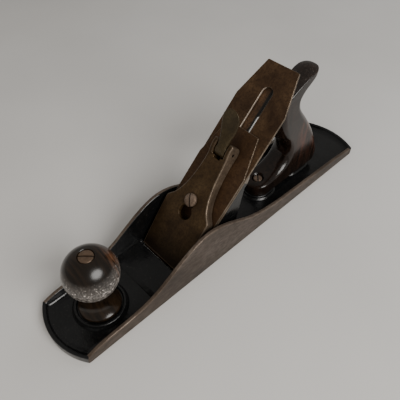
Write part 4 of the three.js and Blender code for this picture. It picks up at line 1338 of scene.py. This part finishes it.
def floor():
    shell = Shell()
    size = 3000
    corners = shell.loop([(-size, -size, 0), (size, -size, 0), (size, size, 0), (-size, size, 0)])
    shell.face(corners)
    g = Graph("floor_paint")
    tone = g.noise(0.004, 3, 0.5)
    fine = g.noise(0.5, 4, 0.6)
    base = g.ramp(tone, (0.3, (0.50, 0.49, 0.475)), (0.7, (0.55, 0.54, 0.525)))
    material = g.surface(color=base, roughness=0.85, normal=g.bump(fine, 0.08, 0.1), specular=0.2)
    obj = shell.object("studio_floor", [material], weighted=False)


def area_light(name, position, target, size, power, colour=(1, 1, 1), mirrored=True):
    light = bpy.data.lights.new(name, "AREA")
    light.shape = "ELLIPSE"
    light.size, light.size_y = size
    light.energy = power
    light.color = colour
    obj = bpy.data.objects.new(name, light)
    obj.location = position
    direction = Vector(target) - Vector(position)
    obj.rotation_euler = direction.to_track_quat("-Z", "Y").to_euler()
    obj.visible_glossy = mirrored
    bpy.context.scene.collection.objects.link(obj)


def world(strength):
    made = bpy.data.worlds.new("studio")
    made.use_nodes = True
    background = made.node_tree.nodes["Background"]
    background.inputs["Color"].default_value = (1.0, 0.965, 0.91, 1)
    background.inputs["Strength"].default_value = strength
    bpy.context.scene.world = made


def camera():
    place = Vector((200.33, 179.17, 318.94)) * MM
    target = Vector((16.05, -10.74, 30)) * MM
    forward = (target - place).normalized()
    right = forward.cross(Vector(UP)).normalized()
    up = right.cross(forward)
    roll = radians(0.654)
    right, up = (right * cos(roll) + up * sin(roll), up * cos(roll) - right * sin(roll))
    data = bpy.data.cameras.new("camera")
    data.sensor_width = 36
    data.lens = 39.68
    data.clip_start = 0.01
    obj = bpy.data.objects.new("camera", data)
    turn = Matrix((right, up, -forward)).transposed().to_4x4()
    turn.translation = place
    obj.matrix_world = turn
    bpy.context.scene.collection.objects.link(obj)
    bpy.context.scene.camera = obj


floor()
world(0.31)
area_light("window", (0.05, 1.05, 0.85), (0, 0, 0.03), (1.0, 0.75), 19.5, (1.0, 0.98, 0.95))
area_light("front", (1.15, 0.3, 0.5), (0, 0, 0.05), (1.0, 0.8), 6.5, (1.0, 0.93, 0.84), False)
area_light("fill", (-0.9, 0.1, 0.9), (0, 0, 0.05), (1.0, 1.0), 3.5, (0.92, 0.96, 1.0), False)
camera()

# what shows of each carried-over node also needs a finish
SLOT_LOOKS = {"japanned_iron": JAPAN, "rusty_steel": IRON, "cap_iron": CAP_SKIN, "worn_steel": STEEL,
              "worn_brass": BRASS, "dark_wood": TOTE_WOOD}
for entry in frame["record"]["subparts"]:
    data = frame["nodes"][entry["node"]].data
    data.materials.clear()
    data.materials.append(SLOT_LOOKS[entry["material_slot"]])
